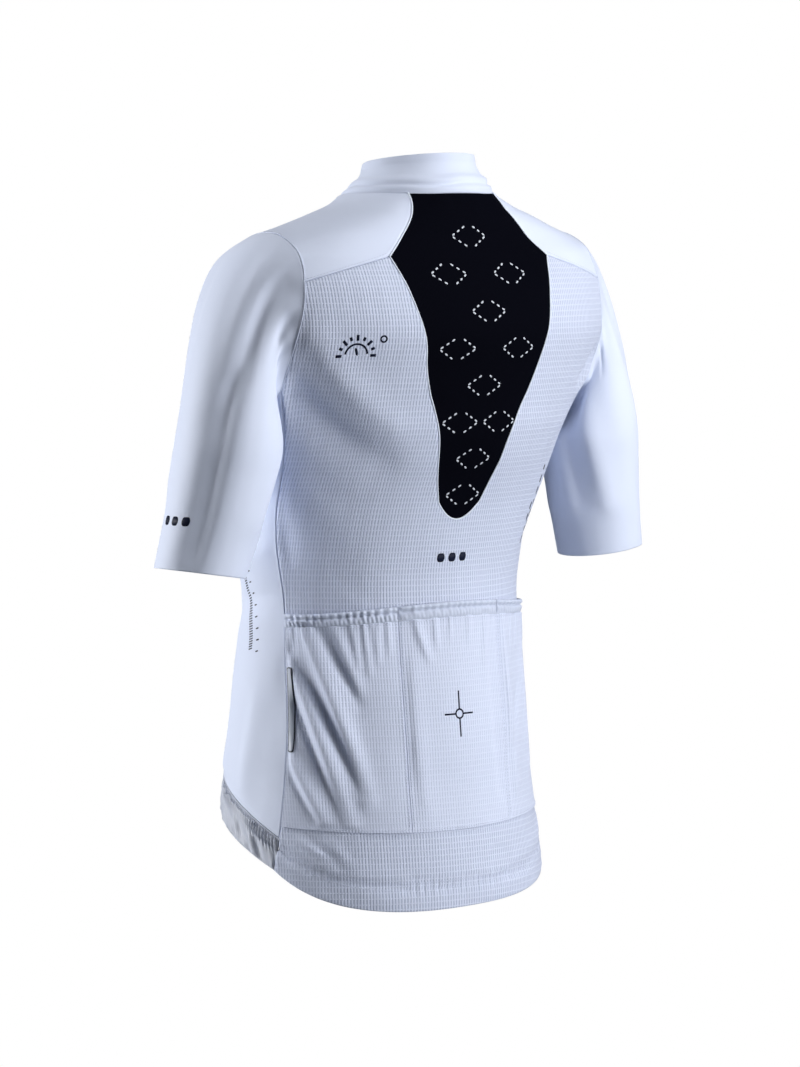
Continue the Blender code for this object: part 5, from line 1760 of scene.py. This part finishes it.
def printed(name, cloths, strokes, placing, look):
    """Ink strokes on laid cloth. A stroke is a path of cloth coordinates and its half widths."""
    trees = []
    for cloth_name in cloths:
        part, outer = LAID[cloth_name]
        if outer.shape[1] == part.grain.shape[1] - 1:
            outer = np.concatenate([outer, outer[:, :1]], axis=1)
        quads = grid_quads(np.arange(outer[..., 0].size).reshape(outer.shape[:2]))
        trees.append(BVHTree.FromPolygons(outer.reshape(-1, 3).tolist(), quads.tolist()))
    shells = []
    for path, half in strokes:
        path, half = np.asarray(path, float), np.broadcast_to(half, (len(path),))
        way = unit(np.gradient(path, axis=0))
        side = np.stack([-way[:, 1], way[:, 0]], -1) * half[:, None]
        flat = np.stack([path - side, path, path + side], 1)
        start, inward = (grid.reshape(-1, 3) for grid in placing(flat[..., 0], flat[..., 1]))
        tops = []
        for origin, toward in zip(start, inward):
            hits = [tree.ray_cast(Vector(origin), Vector(toward)) for tree in trees]
            near = min((hit for hit in hits if hit[0]), key=lambda hit: hit[3], default=None)
            tops.append(None if near is None else np.array(near[0]) - toward * INK_LIFT)
        if any(top is None for top in tops):
            continue
        tops = np.array(tops)
        index, below = np.arange(len(tops)).reshape(-1, 3), len(tops)
        front = grid_quads(index)
        ring = np.array([*index[:, 0], *index[-1, 1:], *index[-2::-1, 2], index[0, 1]])
        ahead = np.roll(ring, -1)
        rim = np.stack([ring, ahead, ahead + below, ring + below], 1)
        cells = np.concatenate([front, front[:, ::-1] + below, rim])
        first = tops[front[0]]
        if np.cross(first[1] - first[0], first[2] - first[1]) @ inward[0] > 0:
            cells = cells[:, ::-1]
        shells.append((np.concatenate([tops, tops + inward * INK_WALL]), cells.tolist()))
    new_trim(name, joined(shells), flat_finish(*look, specular=INK_SHINE))


def bar(x0, y0, x1, y1, half):
    """A straight stroke with points close enough to follow the cloth."""
    t = shares(max(1, int(np.hypot(x1 - x0, y1 - y0) / BAR_STEP)))
    return np.stack([x0 + (x1 - x0) * t, y0 + (y1 - y0) * t], -1), half


def spoke(x, y, turn, inner, outer, half):
    """A straight stroke that points away from a place."""
    return bar(x + inner * cos(turn), y + inner * sin(turn),
               x + outer * cos(turn), y + outer * sin(turn), half)


def dash(x, y, long, half, turn, steps=7):
    """A short stroke with round ends, turned by an angle."""
    t = np.linspace(-1, 1, steps)
    path = np.stack([x + t * long / 2 * cos(turn), y + t * long / 2 * sin(turn)], -1)
    return path, half * np.sqrt(np.clip(1 - 0.93 * np.abs(t) ** 4, 0, 1))


def arc(x, y, radius, start, end, half, steps=33):
    t = np.linspace(start, end, steps)
    return np.stack([x + radius * np.cos(t), y + radius * np.sin(t)], -1), half


def gauge(x, y):
    """A plain dial: a half circle of ticks, a thin arc inside them and a small ring beside."""
    strokes = [arc(x, y, 0.0105, radians(8), radians(172), 0.0009)]
    for k in range(9):
        inner, outer = (0.0135, 0.0190) if k % 2 == 0 else (0.0145, 0.0180)
        strokes.append(spoke(x, y, pi * k / 8, inner, outer, 0.0013))
    strokes.append(dash(x, y + 0.0035, 0.0075, 0.0012, radians(70)))
    strokes.append(arc(x - 0.0245, y + 0.0150, 0.0028, 0, tau, 0.0008, 25))
    return strokes


SCALE_LINE = millimetres([
    # z, across: where the scale runs down the left side
    (-430, 219), (-418, 217.8), (-407, 218.6), (-396, 220.9), (-385, 224.6), (-375, 227.6),
    (-366, 229.2), (-356, 230)])
SCALE_ROWS = (
    # first z, pitch, count, how far behind the line, half a rung's reach, half its width
    (-0.3612, 0.00235, 30, 0.0, 0.0032, 0.00055),
    (-0.3554, 0.01075, 8, 0.0112, 0.0020, 0.00060))
SCALE_SLANT = 0.3


def scale():
    """A fine ladder of slanting rungs down the side, with a row of ticks beside it."""
    strokes = []
    for first, pitch, count, behind, reach, half in SCALE_ROWS:
        for z in first - pitch * np.arange(count):
            x = np.interp(z, *SCALE_LINE.T) - behind
            rise = reach * SCALE_SLANT
            strokes.append(bar(x + reach, z - rise, x - reach, z + rise, half))
    return strokes


def dots(x, y):
    """Three dots in a row."""
    return [dash(x + k * DOT_GAP, y, DOT_RADIUS * 2, DOT_RADIUS, 0.0, 11) for k in (-1, 0, 1)]


def dashes():
    """Two short columns of upright dashes of two lengths."""
    strokes = []
    for col, (count, top) in enumerate(DASH_COLUMNS):
        for k in range(count):
            long = 0.0078 if (k + col) % 3 else 0.0052
            strokes.append(dash(DASH_X + DASH_GAP * col, top - DASH_PITCH * k, long, 0.0019, pi / 2))
    return strokes


def cross(x, y):
    """A small ring with four thin arms."""
    strokes = [arc(x, y, CROSS_RING, 0, tau, CROSS_LINE)]
    for k, reach in enumerate((0.0165, 0.0215) * 2):
        strokes.append(spoke(x, y, pi / 2 * k, CROSS_RING, reach, CROSS_LINE))
    return strokes


# Where the marks lie, by cloth coordinates, and their sizes.
DIAL_AT, BACK_DOTS_AT, CROSS_AT, SLEEVE_DOTS_AT = (
    (0.1390, -0.1480), (0.0027, -0.3411), (0.0032, -0.4884), (0.0028, -0.2982))
DOT_GAP, DOT_RADIUS = 0.0130, 0.0042
DASH_X, DASH_GAP, DASH_PITCH = -0.1310, 0.0088, 0.0112
DASH_COLUMNS = ((7, -0.262), (4, -0.299))       # how many, and the height of the first
CROSS_RING, CROSS_LINE = 0.0042, 0.0008
INK, EYELET_KNIT = ("Printed ink", "ink", 0.5), ("Eyelet knit", "eyelet", 0.7)


class Marks(bpy.types.Operator):
    """Plain printed marks: a dial, dots, dashes, a scale and a cross, and the insert's eyelets"""
    bl_idname = "jersey.marks"
    bl_label = "Printed marks"

    def execute(self, context):
        for name, cloths, strokes in (
                ("dial", ("back_cloth",), gauge(*DIAL_AT)),
                ("dots_back", ("back_cloth",), dots(*BACK_DOTS_AT)),
                ("dashes", ("back_cloth",), dashes()),
                ("scale", ("front_cloth_left", "back_cloth"), scale()),
                ("cross", ("pocket_cloth_centre",), cross(*CROSS_AT))):
            printed("mark_" + name, cloths, strokes, body_place, INK)
        for side, name in ((1, "left"), (-1, "right")):
            printed("mark_dots_" + name, ("sleeve_cloth_" + name,), dots(*SLEEVE_DOTS_AT),
                    arm_place(side), INK)
        printed("insert_eyelets", ("insert_cloth",), eyelets(), body_place, EYELET_KNIT)
        return {"FINISHED"}


EYELET_ROWS = ((0,), (-1, 1), (0,), (-1, 1), (0,), (-1, 1), (0,), (0,))    # lozenges by row
EYELET_TOP, EYELET_PITCH = -0.040, 0.0345
EYELET_ASIDE = 0.036            # a lozenge at the side lies so far from the middle, if it fits
LOZENGE_REACH, LOZENGE_STEP, LOZENGE_MARGIN = 0.0176, 0.0057, 0.0060
SLIT_START, SLIT_LENGTH, SLIT_HALF, SLIT_TURN = 0.0015, 0.0034, 0.0008, radians(-32)


def eyelets():
    """Lozenges of short slits, in rows of one and two down the insert."""
    strokes = []
    for row, places in enumerate(EYELET_ROWS):
        y = EYELET_TOP - EYELET_PITCH * row
        room = np.interp(y, *INSERT_EDGE.T) - LOZENGE_MARGIN - LOZENGE_REACH
        for col in places:
            x = INSERT_SHIFT / 2 + col * min(EYELET_ASIDE, room)
            for way in (1, -1):
                for rise in (1, -1):
                    turn = way * rise * SLIT_TURN
                    for k in range(3):
                        across = x + way * (LOZENGE_REACH - LOZENGE_STEP * k)
                        up = y + rise * (SLIT_START + SLIT_LENGTH * k)
                        strokes.append(dash(across, up, SLIT_LENGTH, SLIT_HALF, turn))
    return strokes


# ---------------- the stage
PICTURE = (800, 1067)                   # the frame that the camera is set for
VIEW_TURN, VIEW_HEIGHT = 142.0, 4.5     # camera azimuth and elevation, degrees
VIEW_DISTANCE = 4.1                     # from the neck's middle
VIEW_SHIFT = (-0.01418, -0.3218)        # the camera stands this far right of the neck and up
PICTURE_SCALE = 1058.0                  # picture units to a metre at the neck's distance
SENSOR = 36.0
FLOOR_REACH, FLOOR_COLOUR = 40.0, (0.30, 0.32, 0.35)
SURROUND_COLOUR = (0.80, 0.88, 1.0, 1.0)


def power(name, description, default):
    return FloatProperty(name=name, description=description, default=default, min=0.0,
                         subtype="POWER")


class StageSettings(bpy.types.PropertyGroup):
    """The floor and the lights."""
    floor_height: FloatProperty(name="Floor height", description="Height of the floor's top",
                                default=-1.45, unit="LENGTH")
    key: power("Key light", "The large light at the right of the back", 40.0)
    top: power("Top light", "The soft light above the back", 25.0)
    back: power("Back light", "The weak light straight behind the back", 7.0)
    side: power("Side light", "The large light at the left", 52.0)
    surround: FloatProperty(name="Surround", description="Strength of the light from all round",
                            default=0.01, min=0.0, subtype="FACTOR")


LAMPS = (("key", 209, 5), ("top", 190, 65), ("back", 190, 5), ("side", 48, 6))  # azimuth, elevation
LAMP_DISTANCE, LAMP_SIZE = 2.2, (0.8, 1.2)
LIT_MIDDLE = Vector((0, 0, -0.33))              # the lamps point at the garment's middle


def way_to(azimuth, elevation):
    """The direction of a place by its azimuth and elevation in degrees."""
    turn, rise = radians(azimuth), radians(elevation)
    return Vector((sin(turn) * cos(rise), -cos(turn) * cos(rise), sin(rise)))


def set_up(name, data, location, way):
    """A lamp or camera that stands at a place and looks back along a direction."""
    made = linked(name, data)
    made.location = location
    made.rotation_mode = "QUATERNION"
    made.rotation_quaternion = way.to_track_quat("Z", "Y")
    return made


def lamp(name, azimuth, elevation, power):
    """A soft area light on the garment's middle."""
    way = way_to(azimuth, elevation)
    light = bpy.data.lights.new(name, "AREA")
    light.shape = "RECTANGLE"
    light.size, light.size_y = LAMP_SIZE
    light.energy = power
    set_up(name, light, LIT_MIDDLE + way * LAMP_DISTANCE, way)


def seen_white(tree, lit, seen, end):
    """Shows one shader to the camera and lets the other one do the lighting."""
    path, mix = new_node(tree, "LightPath"), new_node(tree, "MixShader")
    tree.links.new(path.outputs["Is Camera Ray"], mix.inputs[0])
    tree.links.new(lit.outputs[0], mix.inputs[1])
    tree.links.new(seen.outputs[0], mix.inputs[2])
    tree.links.new(mix.outputs[0], end.inputs["Surface"])


class Stage(bpy.types.Operator):
    """A plain pale floor, soft studio lights, a white surround and the camera"""
    bl_idname = "jersey.stage"
    bl_label = "Stage"

    def execute(self, context):
        scene = context.scene
        stage = scene.jersey_stage
        scene.view_settings.view_transform = "Standard"
        self.floor(stage)
        self.surround(scene, stage)
        for name, azimuth, elevation in LAMPS:
            lamp(name + "_light", azimuth, elevation, getattr(stage, name))
        self.camera(scene)
        return {"FINISHED"}

    def floor(self, stage):
        mesh = bpy.data.meshes.new("floor")
        corners = [(x * FLOOR_REACH, y * FLOOR_REACH, stage.floor_height)
                   for x, y in ((-1, -1), (1, -1), (1, 1), (-1, 1))]
        mesh.from_pydata(corners, [], [(0, 1, 2, 3)])
        finish, tree, shader = blank_finish("Pale floor", FLOOR_COLOUR, 0.9)
        seen_white(tree, shader, new_node(tree, "Emission"), tree.nodes["Material Output"])
        mesh.materials.append(finish)
        linked("floor", mesh)

    def surround(self, scene, stage):
        scene.world = bpy.data.worlds.new("Surround")
        scene.world.use_nodes = True
        tree = scene.world.node_tree
        tree.nodes.clear()
        seen = new_node(tree, "Background", Color=(1.0, 1.0, 1.0, 1.0))
        lit = new_node(tree, "Background", Color=SURROUND_COLOUR, Strength=stage.surround)
        seen_white(tree, lit, seen, new_node(tree, "OutputWorld"))

    def camera(self, scene):
        away = way_to(VIEW_TURN, VIEW_HEIGHT)
        right = way_to(VIEW_TURN + 90, 0)
        up = away.cross(right)
        data = bpy.data.cameras.new("camera")
        data.sensor_width = SENSOR
        data.lens = PICTURE_SCALE * VIEW_DISTANCE * SENSOR / max(PICTURE)
        place = right * VIEW_SHIFT[0] + up * VIEW_SHIFT[1] + away * VIEW_DISTANCE
        scene.camera = set_up("camera", data, place, away)


# ---------------- the add-on
GROUPS = (("jersey_sizes", JerseySizes), ("jersey_colours", JerseyColours),
          ("jersey_stage", StageSettings))
STEPS = (Stage, BackCloth, InsertCloth, YokeCloth, FrontCloth, SleeveCloth, CollarCloth, PocketCloth,
         PocketBinding, SideTab, GripperBand, Stitching, ZipChain, Marks)


class JerseyPanel(bpy.types.Panel):
    """The steps that dress the jersey, in order"""
    bl_idname = "VIEW3D_PT_jersey"
    bl_label = "Cycling jersey"
    bl_space_type = "VIEW_3D"
    bl_region_type = "UI"
    bl_category = "Jersey"

    def draw(self, context):
        for step in STEPS:
            self.layout.operator(step.bl_idname)
        for name, group in GROUPS:
            box = self.layout.box()
            settings = getattr(context.scene, name)
            for field in group.__annotations__:
                box.prop(settings, field)


def register():
    for kind in [group for _, group in GROUPS] + list(STEPS) + [JerseyPanel]:
        bpy.utils.register_class(kind)
    for name, group in GROUPS:
        setattr(bpy.types.Scene, name, PointerProperty(type=group))


def unregister():
    for name, _ in GROUPS:
        delattr(bpy.types.Scene, name)
    for kind in [JerseyPanel] + list(STEPS)[::-1] + [group for _, group in GROUPS]:
        bpy.utils.unregister_class(kind)


def main():
    register()
    for step in STEPS:
        getattr(bpy.ops.jersey, step.bl_idname.split(".")[1])()
    bpy.context.view_layer.update()


if __name__ == "__main__":
    main()
